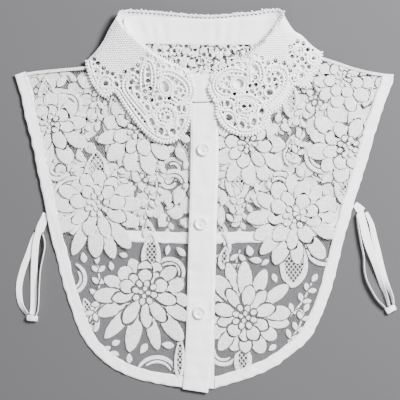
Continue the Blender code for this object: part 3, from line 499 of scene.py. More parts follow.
def headings(route):
    """The direction of travel at each point of a route."""
    return unit(np.gradient(route, axis=0))


def leftward(along):
    """Directions turned to the left of the travel in plan, as the table is seen from above."""
    return np.stack([along[:, 1], -along[:, 0]], axis=1)


def beside(route, distance):
    """The route moved sideways in plan, to the left of its travel as the table is seen from above."""
    moved = route.copy()
    moved[:, :2] += np.reshape(distance, (-1, 1)) * leftward(headings(route[:, :2]))
    return moved


def to_outline(outline, points):
    """Each point's distance in plan to a closed outline."""
    step = np.roll(outline, -1, axis=0) - outline
    share = ((points[:, None] - outline) * step).sum(2) / np.maximum((step**2).sum(1), 1e-9)
    share = np.clip(share, 0, 1)
    return np.linalg.norm(points[:, None] - outline - share[..., None] * step, axis=2).min(1)


def inside(outline, points):
    """Whether each point lies in the closed outline, by counting crossings."""
    a, b = outline, np.roll(outline, -1, axis=0)
    x, y = points[:, None, 0], points[:, None, 1]
    crosses = (a[:, 1] > y) != (b[:, 1] > y)
    rise = np.where(np.abs(b[:, 1] - a[:, 1]) < 1e-9, 1e-9, b[:, 1] - a[:, 1])
    return (crosses & (x < a[:, 0] + (y - a[:, 1]) * (b[:, 0] - a[:, 0]) / rise)).sum(1) % 2 == 1


def signed_area(outline):
    x, y = outline[:, 0], outline[:, 1]
    return np.sum(x * np.roll(y, -1) - np.roll(x, -1) * y) / 2


def swollen(outline, distance):
    """A closed outline moved outward, or inward for a negative distance."""
    outward = leftward(unit(np.roll(outline, -1, axis=0) - np.roll(outline, 1, axis=0)))
    return outline + np.reshape(distance, (-1, 1)) * outward * np.sign(signed_area(outline))


def soft_noise(plan, size, seed):
    """Smooth noise about -1 to 1 over the table, from a few seeded waves about size long."""
    rng = np.random.default_rng(seed)
    value = np.zeros(len(plan))
    for _ in range(7):
        heading = rng.uniform(0, math.tau)
        wave = rng.uniform(0.7, 1.5) / size
        shift = rng.uniform(0, math.tau)
        along = plan[:, 0] * math.cos(heading) + plan[:, 1] * math.sin(heading)
        value += np.sin(along * wave * math.tau + shift)
    return value / 4


def lace():
    return bpy.context.scene.lace_cloth


def swayed(plan):
    """The soft waves that all layers share."""
    return lace().sway / MM * (0.5 + 0.5 * soft_noise(plan, 34.0, 4))


class HeightMap:
    """Heights over the table of the upper or the lower side of some of the frame's solids."""

    RAY_START = 0.1

    def __init__(self, nodes, from_above=True, cell=3.0, smoothing=2):
        points, faces = [], []
        for name in nodes:
            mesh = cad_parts[name].data
            faces += [[len(points) + k for k in face.vertices] for face in mesh.polygons]
            points += [vertex.co.copy() for vertex in mesh.vertices]
        tree = BVHTree.FromPolygons(points, faces)
        plan = np.array([(p.x / MM + MIDDLE_ACROSS, MIDDLE_DOWN - p.y / MM) for p in points])
        self.cell = cell
        self.low = plan.min(0) - 2 * cell
        self.size = np.ceil((plan.max(0) - self.low) / cell).astype(int) + 3
        side = 1 if from_above else -1
        grid = np.full(self.size, np.nan)
        for i, j in np.ndindex(*self.size):
            x = (self.low[0] + i * cell - MIDDLE_ACROSS) * MM
            y = (MIDDLE_DOWN - self.low[1] - j * cell) * MM
            hit = tree.ray_cast(Vector((x, y, side * self.RAY_START)), Vector((0, 0, -side)))[0]
            if hit:
                grid[i, j] = hit.z / MM
        self.grid = blurred(filled(grid), smoothing)

    def __call__(self, plan):
        spot = (plan[:, :2] - self.low) / self.cell
        spot = np.clip(spot, 0, self.size - 1.001)
        whole = spot.astype(int)
        u, v = (spot - whole).T
        i, j = whole.T
        grid = self.grid
        height = grid[i, j] * (1 - u) * (1 - v) + grid[i + 1, j] * u * (1 - v)
        return height + grid[i, j + 1] * (1 - u) * v + grid[i + 1, j + 1] * u * v + swayed(plan)


def neighbours(grid):
    """The nine shifted copies of a grid, with its edges repeated."""
    padded = np.pad(grid, 1, mode="edge")
    rows, columns = grid.shape
    return [padded[i : i + rows, j : j + columns] for i in range(3) for j in range(3)]


def filled(grid):
    """The grid with each empty cell given the mean of its known neighbours, outward until all are known."""
    known = np.isfinite(grid)
    grid = np.where(known, grid, 0.0)
    while not known.all():
        total = sum(neighbours(grid * known))
        count = sum(neighbours(known.astype(float)))
        fresh = ~known & (count > 0)
        grid[fresh] = total[fresh] / count[fresh]
        known |= fresh
    return grid


def blurred(grid, times):
    for _ in range(times):
        grid = sum(neighbours(grid)) / 9
    return grid


def table_of(rows):
    """Points at the frame's metres from table millimetres."""
    rows = np.asarray(rows, float)
    x, y = rows[:, 0] - MIDDLE_ACROSS, MIDDLE_DOWN - rows[:, 1]
    return np.stack([x * MM, y * MM, rows[:, 2] * MM], axis=1)


def together(shapes):
    """Several shapes as one."""
    points, faces, start = [], [], 0
    for shape in shapes:
        points.append(shape.points)
        faces += [tuple(start + k for k in face) for face in shape.faces]
        start += len(shape.points)
    return Shape(np.vstack(points), faces)


def piece(name, shape, material, nodes, smooth_angle=50):
    """A mesh object from a shape, riding on the garment and standing for the frame's nodes."""
    mesh = bpy.data.meshes.new(name)
    faces = [tuple(int(k) for k in face) for face in shape.faces]
    mesh.from_pydata(table_of(shape.points).tolist(), [], faces)
    mesh.validate()
    mesh.materials.append(material)
    mesh.shade_smooth()
    mesh.set_sharp_from_angle(angle=math.radians(smooth_angle))
    made = bpy.data.objects.new(name, mesh)
    bpy.context.scene.collection.objects.link(made)
    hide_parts(*nodes)
    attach(made, "root")
    return made


def shell(plan, triangles, top, bottom):
    """A closed thin solid over triangles in plan, between two heights at each point."""
    count = len(plan)
    corner = plan[triangles]
    first, second = corner[:, 1] - corner[:, 0], corner[:, 2] - corner[:, 0]
    turned = first[:, 0] * second[:, 1] - first[:, 1] * second[:, 0] > 0
    triangles = np.where(turned[:, None], triangles[:, ::-1], triangles)
    edges = np.concatenate([triangles[:, [0, 1]], triangles[:, [1, 2]], triangles[:, [2, 0]]])
    _, index, uses = np.unique(np.sort(edges, axis=1), axis=0, return_inverse=True, return_counts=True)
    border = edges[uses[index.reshape(-1)] == 1]
    sides = np.column_stack([border[:, 1], border[:, 0], border[:, 0] + count, border[:, 1] + count])
    faces = [*map(tuple, triangles), *map(tuple, triangles[:, ::-1] + count), *map(tuple, sides)]
    points = np.vstack([np.column_stack([plan, top]), np.column_stack([plan, bottom])])
    return Shape(points, faces)


def tube_faces(stations, around):
    """Faces of a closed tube through rings of points, with its ends capped."""
    faces = []
    for i in range(stations - 1):
        for j in range(around):
            k = (j + 1) % around
            faces.append((i * around + j, i * around + k, (i + 1) * around + k, (i + 1) * around + j))
    faces.append(tuple(range(around))[::-1])
    faces.append(tuple((stations - 1) * around + j for j in range(around)))
    return faces


def turned_faces(levels, sides):
    """Faces of a turned solid: one point, then rings of points, then one point."""
    faces = []
    last = 1 + (levels - 1) * sides
    for k in range(sides):
        n = (k + 1) % sides
        faces.append((0, 1 + k, 1 + n))
        for a in range(1, last, sides):
            faces.append((a + k, a + sides + k, a + sides + n, a + n))
        faces.append((last + k, last + sides, last + n))
    return faces


def tubes(routes, radius, sides=5):
    """Closed round cords along routes of across, down and height."""
    shapes = []
    turn = np.linspace(0, math.tau, sides, endpoint=False) + math.pi / 2
    for route in routes:
        along = headings(route)
        side = unit(np.column_stack([leftward(along), np.zeros(len(route))]))
        up = np.cross(along, side)
        up *= np.where(up[:, 2] < 0, -1, 1)[:, None]
        ring = side[:, None] * np.cos(turn)[None, :, None] + up[:, None] * np.sin(turn)[None, :, None]
        points = (route[:, None] + radius * ring).reshape(-1, 3)
        shapes.append(Shape(points, tube_faces(len(route), sides)))
    return together(shapes)


def beads(spots, radius, tall=0.8, sides=6):
    """Small domed beads at rows of across, down and height."""
    turn = np.linspace(0, math.tau, sides, endpoint=False)
    ring = np.stack([np.cos(turn), np.sin(turn)], axis=1)
    levels = [(0.72, -0.55), (1.0, 0.0), (0.72, 0.6)]
    walls = [(*(spot * wide), high) for wide, high in levels for spot in ring]
    bead = np.array([(0, 0, -0.9), *walls, (0, 0, 1.0)]) * (radius, radius, radius * tall)
    faces = turned_faces(len(levels), sides)
    points = (np.asarray(spots, float)[:, None] + bead).reshape(-1, 3)
    every = [tuple(s * len(bead) + k for k in face) for s in range(len(spots)) for face in faces]
    return Shape(points, every)


def eased(count):
    """Shares from 0 to 1 that lie closer together near both ends."""
    return 0.5 - 0.5 * np.cos(np.linspace(0, math.pi, count))


def rounding(share, square):
    """A strip's thickness across it: 1 in its middle and 0 at its edges, squarer for a larger power."""
    return np.sqrt(np.maximum(1 - np.abs(2 * share - 1) ** square, 0))


def strip(left, right, middle, thickness, across=14, ripple=None, square=6):
    """A closed cloth strip between two routes, with soft long edges, about a middle height."""
    share = eased(across)
    plan = left[:, None, :2] * (1 - share)[None, :, None] + right[:, None, :2] * share[None, :, None]
    flat = plan.reshape(-1, 2)
    height = (middle(flat) + ripple(flat)).reshape(plan.shape[:2])
    half = thickness / 2 * rounding(share, square)
    top = np.dstack([plan, height + half])
    bottom = np.dstack([plan, np.maximum(height - half, LOWEST)])[:, ::-1][:, 1:-1]
    return lofted(np.concatenate([top, bottom], axis=1))


def lofted(rings):
    """A closed solid through rings of points, one ring for each station."""
    points = rings.reshape(-1, 3)
    faces = tube_faces(*rings.shape[:2])
    a, b, c = points[list(faces[0][:3])]
    return Shape(points, faces if np.cross(b - a, c - a)[2] <= 0 else [face[::-1] for face in faces])


def stitches(route, height_of, proud=0.1):
    """A row of short raised stitches along a route in plan."""
    pitch = bpy.context.scene.lace_cotton.stitch_pitch / MM
    route = evenly(route[:, :2], pitch)
    start, end = route[:-1], route[1:]
    rows = []
    for share in (0.1, 0.3, 0.7, 0.9):
        plan = start * (1 - share) + end * share
        rise = proud * math.sin(math.pi * share)
        rows.append(np.column_stack([plan, height_of(plan) + rise]))
    return tubes(list(np.stack(rows, axis=1)), 0.2, sides=4)


def bearing(turn):
    """The unit vector in plan at some degrees from across."""
    return np.array([math.cos(math.radians(turn)), math.sin(math.radians(turn))])


def placed(x, y, turn, centre):
    """Points in plan turned by some degrees and moved to a centre."""
    a = math.radians(turn)
    x, y = x * math.cos(a) - y * math.sin(a), x * math.sin(a) + y * math.cos(a)
    return np.array(centre) + np.stack([x, y], axis=1)


def oval(centre, long_size, short_size, turn=0, points=14):
    """A closed oval outline in plan."""
    t = np.linspace(0, math.tau, points, endpoint=False)
    return placed(long_size / 2 * np.cos(t), short_size / 2 * np.sin(t), turn, centre)


def petal(root, turn, length, width, widest=0.62, blunt=0.7, points=9):
    """A petal's outline from its root: widest past its middle, round at its tip."""
    share = eased(points)
    power = math.log(0.5) / math.log(widest)
    half = width / 2 * np.sin(math.pi * share**power).clip(0) ** blunt
    along = np.concatenate([share, share[-2:0:-1]]) * length
    return placed(along, np.concatenate([half, -half[-2:0:-1]]), turn, root)


def polar(centre, radius, turn):
    """The point at a distance and a turn from a centre."""
    a = math.radians(turn)
    return centre[0] + radius * math.cos(a), centre[1] + radius * math.sin(a)


def frayed(outline, step=1.7, depth=0.3):
    """A closed outline with the slight waviness that the edge stitches give."""
    dense = through(np.vstack([outline, outline[:1]]), step)[:-1]
    return swollen(dense, depth * soft_noise(dense, 3.4, 17))


def cut_of(motif):
    """A motif's outline with its slit round it, wider at some places than at others."""
    width = np.clip(1 + 0.8 * soft_noise(motif.outline, 9.0, 23), 0.45, 2.0)
    width *= np.interp(motif.outline[:, 1], (200, 250), (UPPER_SLITS, 1.0))
    return swollen(motif.outline, motif.slit * width)


def varied(across, down, spread=0.35):
    """A slit's width, narrower at some places than at others."""
    return SLIT * (1 - spread + 2 * spread * abs(math.sin(across * 0.71 + down * 1.37)))


def alternate(count):
    """The even numbers up to a count, then the odd ones: each second petal lies over its neighbours."""
    return [*range(0, count, 2), *range(1, count, 2)]


def flower(across, down, size, turn, droop=90.0, longer=0.15, outer=12, inner=8):
    """A double flower: long outer petals, an inner round over them and a knot of seeds in its heart."""
    centre = (across, down)
    motifs = []
    for k in alternate(outer):
        angle = turn + 360 / outer * k + 3 * math.sin(5.1 * k + across)
        longest = longer * math.cos(math.radians(angle - droop))
        reach = size * (0.98 + longest + 0.06 * math.sin(2.3 * k + down))
        root = polar(centre, 0.32 * size, angle)
        width = size * (4.3 / outer + 0.035 * math.sin(3.7 * k + across))
        heading, widest = angle + 6 * math.sin(k + turn), 0.60 + 0.05 * math.sin(k)
        leaf = petal(root, heading, reach - 0.32 * size, width, widest, 0.55)
        motifs.append(Motif(frayed(leaf), varied(*root)))
    for k in alternate(inner):
        angle = turn + 10 + 360 / inner * k + 4 * math.sin(4.3 * k + down)
        longest = 0.55 * longer * math.cos(math.radians(angle - droop))
        reach = size * (0.42 + longest + 0.04 * math.sin(1.7 * k + turn))
        root = polar(centre, 0.19 * size, angle)
        width = size * (2.5 / inner + 0.03 * math.sin(2.9 * k + across))
        leaf = petal(root, angle + 4 * math.cos(k + turn), reach, width, 0.58, 0.6)
        motifs.append(Motif(frayed(leaf), varied(*root, 0.2) * 1.5))
    for k in range(8):
        angle = turn + 45 * k + 6
        spot = polar(centre, (0.2 + 0.02 * math.sin(3 * k)) * size, angle)
        motifs.append(Motif(oval(spot, 0.14 * size, 0.112 * size, angle, 10), SLIT * 1.3))
    for k in range(4):
        angle = turn + 90 * k
        spot = polar(centre, 0.078 * size, angle)
        motifs.append(Motif(oval(spot, 0.095 * size, 0.085 * size, angle, 8), SLIT * 0.8))
    return motifs


def net_leaf(across, down, length, width, turn):
    """A leaf whose middle is open and crossed by a coarse diagonal mesh."""
    whole = petal((across, down), turn, length, width, 0.58, 0.6, 12)
    root = polar((across, down), 2.2, turn)
    middle = petal(root, turn, length - 7.5, max(width - 9.0, 0.45 * width), 0.55, 0.6, 12)
    return [Motif(frayed(whole)), Motif(middle, 0.0, MESHED)]


def band(route, width, taper=0.55):
    """A closed outline along a route, narrower at its two ends."""
    share = lengths(route) / lengths(route)[-1]
    half = width / 2 * (1 - taper + taper * np.sin(math.pi * share) ** 0.5)
    side = leftward(headings(route)) * half[:, None]
    return np.vstack([route + side, (route - side)[::-1]])


def scroll(across, down, radius, start, sweep):
    """Two nested curling bands that end in a bud."""
    centre = np.array((across, down))
    share = np.linspace(1.0, 0.72, 24)
    turns = np.radians(start + np.linspace(0, sweep, 24))
    ways = np.stack([np.cos(turns), np.sin(turns)], axis=1)
    spiral = centre + (radius * share)[:, None] * ways
    nested = centre + (radius * share - 4.6)[:, None] * ways
    return [
        Motif(band(spiral, 4.0), SLIT * 0.8),
        Motif(band(nested[3:-2], 2.8), SLIT * 0.8),
        Motif(oval(spiral[-1], 5.4, 5.0, 0, 12)),
    ]


def spray(across, down, end_across, end_down, pairs):
    """A thin stem with leaflets in pairs and one at its tip."""
    start, end = np.array([across, down]), np.array([end_across, end_down])
    way = end - start
    heading = math.degrees(math.atan2(way[1], way[0]))
    bow = np.array([-way[1], way[0]]) / np.linalg.norm(way) * 2.5
    stem = through([start, (start + end) / 2 + bow, end], 2.0)
    motifs = [Motif(band(stem, 1.7, 0.2), SLIT * 0.7)]
    for k in range(pairs):
        root = stem[int((k + 0.4) / pairs * (len(stem) - 1))]
        for side in (-1, 1):
            motifs.append(Motif(petal(root, heading + side * 48, 10.5 - 0.8 * k, 5.2, 0.55)))
    motifs.append(Motif(petal(stem[-1], heading, 9.5, 5.6, 0.55)))
    return motifs


class Draft:
    """A panel's plan: its outline and its motifs, with a map of where its cloth is."""

    CELL = 0.3
    AT_ONCE = 60000

    def __init__(self, outline, motifs):
        self.outline = outline
        self.low = outline.min(0) - 1
        self.size = np.ceil((outline.max(0) - self.low + 1) / self.CELL).astype(int)
        self.cover = np.zeros(self.size, np.int8)
        self.within = np.zeros(self.size, bool)
        window, cells = self.cells_in(outline)
        self.within[window] = cells
        self.motifs = []
        for motif in motifs:
            self.add(motif)

    def cells_in(self, outline):
        """The window of the map round an outline, and which of its cells lie inside."""
        low = np.clip(((outline.min(0) - self.low) / self.CELL).astype(int) - 1, 0, self.size)
        high = np.clip(((outline.max(0) - self.low) / self.CELL).astype(int) + 2, 0, self.size)
        if (high <= low).any():
            return None
        x, y = (self.low[k] + (np.arange(low[k], high[k]) + 0.5) * self.CELL for k in (0, 1))
        spots = np.stack(np.meshgrid(x, y, indexing="ij"), axis=-1).reshape(-1, 2)
        mask = np.zeros(len(spots), bool)
        for k in range(0, len(spots), self.AT_ONCE):
            mask[k : k + self.AT_ONCE] = inside(outline, spots[k : k + self.AT_ONCE])
        return (slice(low[0], high[0]), slice(low[1], high[1])), mask.reshape(*(high - low))

    def add(self, motif):
        """Adds a motif over those before it: its slit is cut first, then it fills or opens its outline."""
        wide = self.cells_in(cut_of(motif)) if motif.slit else None
        if wide:
            around = self.cover[wide[0]]
            around[wide[1] & (around == CLOTH)] = CUT
            around[wide[1] & (around == MESHED)] = OPEN
        own = self.cells_in(motif.outline)
        if own and (self.within[own[0]] & own[1]).any():
            self.cover[own[0]][own[1]] = motif.kind
            self.motifs.append(motif)

    def at(self, plan):
        """What the map says at points in plan."""
        spot = ((plan - self.low) / self.CELL).astype(int)
        known = ((spot >= 0) & (spot < self.size)).all(1)
        i, j = np.clip(spot, 0, self.size - 1).T
        return np.where(known & self.within[i, j], self.cover[i, j].astype(int), OUTSIDE)

    def cloth_area(self):
        """Flat area in square metres of the filled cloth, without the open places."""
        return ((self.cover == CLOTH) & self.within).sum() * (self.CELL * MM) ** 2

    def fill_room(self, room, seed, clear, largest=8.5):
        """Puts leaves into the open places that are further than room from any cloth."""
        rng = np.random.default_rng(seed)
        step = 4
        free = (self.cover == OPEN) & self.within
        for window in clear:
            corners = (np.reshape(window, (2, 2)) - self.low) / self.CELL
            (left, top), (right, bottom) = np.clip(corners, 0, self.size).astype(int)
            free[left:right, top:bottom] = False
        ring = free[::step, ::step].copy()
        away = np.zeros(ring.shape)
        size = step * self.CELL
        for k in range(1, 16):
            around = neighbours(ring)
            ring = np.all(around if k % 2 else [around[m] for m in (1, 3, 4, 5, 7)], axis=0)
            away[ring] = k * size * 0.92
        x, y = (self.low[k] + np.arange(away.shape[k]) * size for k in (0, 1))
        for _ in range(160):
            i, j = np.unravel_index(away.argmax(), away.shape)
            if away[i, j] < room:
                break
            reach = min(away[i, j] - 1.0, largest)
            turn = rng.uniform(0, 360)
            length = reach * rng.uniform(1.9, 2.3)
            root = polar((x[i], y[j]), -length / 2, turn)
            self.add(Motif(petal(root, turn, length, reach * rng.uniform(1.1, 1.45), 0.58)))
            far = np.hypot(x[:, None] - x[i], y[None] - y[j]) - reach * 0.8
            away = np.minimum(away, np.maximum(far, 0))


def cut_cloth(draft, extra=()):
    """Triangles in plan for each motif that fills with cloth: its points, its triangles and itself."""
    cuts = [cut_of(motif) for motif in draft.motifs]
    lows, highs = np.array([cut.min(0) for cut in cuts]), np.array([cut.max(0) for cut in cuts])
    for rank, motif in enumerate(draft.motifs):
        if motif.kind != CLOTH:
            continue
        low, high = motif.outline.min(0), motif.outline.max(0)
        over = np.flatnonzero(((lows < high) & (highs > low)).all(1))
        outlines = [motif.outline] + [cuts[k] for k in over if k > rank]
        whole = inside(draft.outline, motif.outline).all() or motif.outline is draft.outline
        if not whole:
            outlines.append(draft.outline)
        points = list(extra)
        if not points:
            for inset in (0.55, 1.25, 2.6):
                ring = swollen(motif.outline, -inset)[:: 1 if inset < 1 else 2]
                kept = inside(motif.outline, ring) & (to_outline(motif.outline, ring) > 0.7 * inset)
                points += list(ring[kept])
        plan, faces = [], []
        for outline in outlines:
            faces.append(list(range(len(plan), len(plan) + len(outline))))
            plan += list(outline if signed_area(outline) > 0 else outline[::-1])
        found = delaunay_2d_cdt([Vector(p) for p in plan + points], [], faces, 1, 1e-4)
        wanted = {0} if whole else {0, len(outlines) - 1}
        triangles = [t for t, sources in zip(found[2], found[5]) if set(sources) == wanted and len(t) == 3]
        if triangles:
            used, index = np.unique(np.array(triangles), return_inverse=True)
            flat = np.array([tuple(v) for v in found[0]])[used]
            yield flat, index.reshape(-1, 3), motif


def lace_cloth(draft, middle):
    """The filled cloth of a lace panel: thin shells with a corded rim and a domed middle."""
    settings = lace()
    half, rim, dome = settings.thickness / MM / 2, settings.rim / MM, settings.dome / MM
    shapes = []
    for plan, triangles, motif in cut_cloth(draft):
        height = middle(plan)
        away = to_outline(motif.outline, plan)
        relief = rim * np.exp(-(((away - 0.55) / 0.4) ** 2)) + dome * (1 - np.exp(-away / 2.2))
        heading = 2.4 * len(shapes)
        lean = (plan - plan.mean(0)) @ (math.cos(heading), math.sin(heading)) * 0.02
        height = height + np.clip(lean, -0.3, 0.3) + 0.10 * soft_noise(plan, 4.0, 19)
        shapes.append(shell(plan, triangles, height + half + relief, height - half))
    return together(shapes)


def runs(flags):
    """Start and end of each run of true values."""
    padded = np.concatenate([[0], flags.astype(int), [0]])
    edges = np.flatnonzero(np.diff(padded))
    return edges.reshape(-1, 2)


def net_routes(draft, value, pitch, angles):
    """Thread routes in plan on lines at the given angles, where the draft's map has the value."""
    low, high = draft.outline.min(0), draft.outline.max(0)
    middle, reach = (low + high) / 2, np.linalg.norm(high - low) / 2
    steps = np.arange(-reach, reach, NET_STEP)[:, None]
    routes = []
    for angle in angles:
        along = bearing(angle)
        side = np.array([-along[1], along[0]])
        for offset in np.arange(-reach, reach, pitch):
            line = middle + side * offset + steps * along
            for start, end in runs(draft.at(line) == value):
                run = line[max(start - 1, 0) : end + 1]
                if len(run) >= 3:
                    routes.append(evenly(run, NET_SPAN))
    return routes


def threads(routes, height_of, width, tall, drop=0.0):
    """Three-sided threads along many routes in plan."""
    plan = np.vstack(routes)
    height = height_of(plan) - drop
    side = leftward(unit(np.vstack([np.gradient(route, axis=0) for route in routes]))) * width / 2
    corners = [(plan + side, -tall / 2), (plan - side, -tall / 2), (plan, tall / 2)]
    points = np.stack([np.column_stack([spots, height + lift]) for spots, lift in corners], axis=1)
    count = np.array([len(route) for route in routes])
    first = np.concatenate([[0], np.cumsum(count)[:-1]])
    last = first + count - 1
    inner = np.ones(len(plan), bool)
    inner[last] = False
    base = np.flatnonzero(inner)[:, None] * 3
    walls = [base + np.array([a, b, b + 3, a + 3]) for a, b in ((0, 1), (1, 2), (2, 0))]
    faces = [tuple(f) for wall in walls for f in wall]
    faces += [(3 * k + 2, 3 * k + 1, 3 * k) for k in first]
    faces += [(3 * k, 3 * k + 1, 3 * k + 2) for k in last]
    return Shape(points.reshape(-1, 3), faces)


def dressed_lace(draft, node):
    """A whole lace panel, its cloth, net and coarse mesh, and the flat area of all of these."""
    settings = lace()
    middle = middle_of(node, LACE_THICKNESS, 4.0)
    net_thread = settings.net_thread / MM
    net = net_routes(draft, OPEN, settings.net_pitch / MM, NET_ANGLES)
    mesh = net_routes(draft, MESHED, COARSE_PITCH, COARSE_ANGLES)
    cloth = lace_cloth(draft, middle)
    net_shape = threads(net, middle, net_thread, net_thread, 0.05)
    mesh_shape = threads(mesh, middle, COARSE_THREAD, COARSE_TALL)
    thread_area = sum(lengths(route)[-1] for route in net) * net_thread
    thread_area += sum(lengths(route)[-1] for route in mesh) * COARSE_THREAD
    return together([cloth, net_shape, mesh_shape]), draft.cloth_area() + thread_area * MM * MM


def declare_cloth(made, width, length, area=None, rests_on=(), held="laid"):
    """Takes the size that a cloth piece was cut to, in millimetres, and records nothing."""
    list(rests_on)


def front_outline(front):
    """A front's lace, tucked a little under its bindings, placket and neckband."""
    side = front.side
    edge = beside(through(front.edge, EDGE_STEP), side * (BINDING_WIDTH - TUCKED))
    edge = edge[side * edge[:, 0] < side * front.foot[0]]
    placket = through(front.placket, EDGE_STEP)[::-1] + (side * TUCKED, 0)
    placket = placket[(placket[:, 1] < edge[-1, 1] - 1) & (placket[:, 1] > front.placket_top)]
    neck = through(np.array(STAND_ROWS)[front.stand, 3:5], NECK_STEP)[::-side]
    neck = neck[(neck[:, 1] > front.neck_top) & (side * neck[:, 0] < side * front.neck_inner)]
    shoulder = through(front.shoulder, EDGE_STEP)[::-1] + (0, 0.8)
    outer = side * shoulder[:, 0] > side * edge[0, 0] + 2
    shoulder = shoulder[outer & (side * shoulder[:, 0] < side * front.shoulder_inner)]
    return np.vstack([edge, placket, neck, shoulder])


def back_outline():
    """The back's lace, tucked a little under its bindings and the neckband."""
    left = beside(through(BACK_LEFT_EDGE, EDGE_STEP), BINDING_WIDTH - TUCKED)
    right = beside(through(BACK_RIGHT_EDGE, EDGE_STEP), -(BINDING_WIDTH - TUCKED))
    hem = beside(through(BACK_HEM, EDGE_STEP), BINDING_WIDTH - TUCKED)
    hem = hem[(hem[:, 0] > left[-1, 0] + 1) & (hem[:, 0] < right[-1, 0] - 1)]
    left = left[left[:, 1] < hem[0, 1] - 3]
    right = right[right[:, 1] < hem[-1, 1] - 3]
    neck = through(np.array(STAND_ROWS)[STAND_BACK, 3:5], NECK_STEP)
    neck = neck[(neck[:, 0] > 136) & (neck[:, 0] < 269)]
    left_side = through(LEFT_SHOULDER, EDGE_STEP)[::-1] + (0, 1.2)
    left_side = left_side[(left_side[:, 0] > left[0, 0] + 2) & (left_side[:, 0] < 125)]
    right_side = through(RIGHT_SHOULDER, EDGE_STEP) + (0, 1.2)
    right_side = right_side[(right_side[:, 0] < right[0, 0] - 2) & (right_side[:, 0] > 281)]
    return np.vstack([left, hem, right[::-1], right_side, neck, left_side])


def middle_of(node, thickness, cell=3.0):
    """Height of the middle of a cloth layer, from the top of its solid and the solid's thickness."""
    top = HeightMap([node], True, cell)
    return lambda plan: top(plan) - thickness / 2


def back_motifs():
    """Small flowers in the neck, and below them larger ones on a staggered lattice with leaves between."""
    wide, tall = BACK_LATTICE
    places = [
        (30 + column * wide + (row % 2) * wide / 2, 96 + row * tall, 17 * column + 9 * row, column)
        for row in range(3)
        for column in range(6)
    ]
    motifs = []
    for across, down, _, column in places:
        motifs += scroll(across + wide * 0.5, down - 12, 12, 160 + 40 * column, 240)
        motifs += net_leaf(across + 8, down + 36, 30, 15, 80)
        motifs += spray(across + wide * 0.52, down + 20, across + wide * 0.42, down + 46, 3)
    for across, down, turn, _ in places:
        motifs += flower(across, down, 38, turn)
    for row in BACK_NECK_SPRAYS:
        motifs += spray(*row)
    for row in BACK_NECK_FLOWERS:
        motifs += [motif._replace(slit=motif.slit * NECK_SLITS) for motif in flower(*row)]
    return motifs


def drafted(front):
    """A front panel's draft from its placement tables."""
    motifs = []
    drawn = zip((scroll, net_leaf, spray, flower), (front.scrolls, front.leaves, front.sprays, front.flowers))
    for draw, rows in drawn:
        for row in rows:
            motifs += draw(*row)
    seam = band(through(front.shoulder, 3.0) + (0, SEAM_WIDTH / 2 + 0.6), SEAM_WIDTH, 0.0)
    draft = Draft(front_outline(front), [*motifs, Motif(seam, 0.5)])
    draft.fill_room(lace().room / MM, front.seed, CLEAR_WINDOWS)
    return draft


def plain_nodes(name, colour, roughness):
    """A material with its Principled shader set to a colour and roughness: (material, tree, shader)."""
    made = bpy.data.materials.new(name)
    made.use_nodes = True
    tree = made.node_tree
    shader = tree.nodes["Principled BSDF"]
    shader.inputs["Base Color"].default_value = (*colour, 1)
    shader.inputs["Roughness"].default_value = roughness
    made.diffuse_color = (*colour, 1)
    return made, tree, shader


def add_node(tree, kind, **values):
    """A shader node with some of its inputs or settings given."""
    node = tree.nodes.new(kind)
    for key, value in values.items():
        if key in node.inputs:
            node.inputs[key].default_value = value
        else:
            setattr(node, key, value)
    return node


def mottled(tree, shader, colour, spread, size, coordinates):
    """Gives the base colour a slight, soft variation."""
    noise = add_node(tree, "ShaderNodeTexNoise", Scale=1 / size, Detail=3.0, Roughness=0.55)
    ramp = add_node(tree, "ShaderNodeValToRGB")
    ramp.color_ramp.elements[0].position = 0.3
    ramp.color_ramp.elements[1].position = 0.7
    ramp.color_ramp.elements[0].color = (*[c * (1 - spread) for c in colour], 1)
    ramp.color_ramp.elements[1].color = (*[min(1, c * (1 + spread * 0.4)) for c in colour], 1)
    tree.links.new(coordinates, noise.inputs["Vector"])
    tree.links.new(noise.outputs["Fac"], ramp.inputs["Fac"])
    tree.links.new(ramp.outputs["Color"], shader.inputs["Base Color"])


def woven(name, colour, roughness, pitch, depth, spread=0.05, sheen=0.25, diagonal=False, cloud=0.012):
    """A plain weave or knit: two crossing sets of threads as bump, over slightly mottled colour."""
    made, tree, shader = plain_nodes(name, colour, roughness)
    shader.inputs["Sheen Weight"].default_value = sheen
    shader.inputs["Sheen Roughness"].default_value = 0.5
    where = add_node(tree, "ShaderNodeTexCoord").outputs["Object"]
    mottled(tree, shader, colour, spread, cloud, where)
    cross = add_node(tree, "ShaderNodeMath", operation="MAXIMUM")
    for k, direction in enumerate(("DIAGONAL" if diagonal else "X", "Y")):
        wave = add_node(tree, "ShaderNodeTexWave", Scale=0.314 / pitch, Distortion=0.6)
        wave.inputs["Detail Scale"].default_value = 2.0
        wave.bands_direction = direction
        tree.links.new(where, wave.inputs["Vector"])
        tree.links.new(wave.outputs["Fac"], cross.inputs[k])
    fuzz = add_node(tree, "ShaderNodeTexNoise", Scale=1 / (pitch * 2.5), Detail=4.0)
    total = add_node(tree, "ShaderNodeMath", operation="ADD")
    bump = add_node(tree, "ShaderNodeBump", Strength=0.5, Distance=depth)
    tree.links.new(where, fuzz.inputs["Vector"])
    tree.links.new(cross.outputs[0], total.inputs[0])
    tree.links.new(fuzz.outputs["Fac"], total.inputs[1])
    tree.links.new(total.outputs[0], bump.inputs["Height"])
    tree.links.new(bump.outputs["Normal"], shader.inputs["Normal"])
    return made


def lace_material(name, colour=None):
    return woven(name, colour or lace().colour, 0.85, 0.0015, 0.0006, 0.20, 0.15, cloud=0.0028)


def cotton_material(name):
    return woven(name, bpy.context.scene.lace_cotton.colour, 0.88, 0.0006, 0.00010)


def corded_material(name):
    return woven(name, bpy.context.scene.lace_fall.colour, 0.82, 0.0008, 0.00022, 0.05, 0.25, diagonal=True)


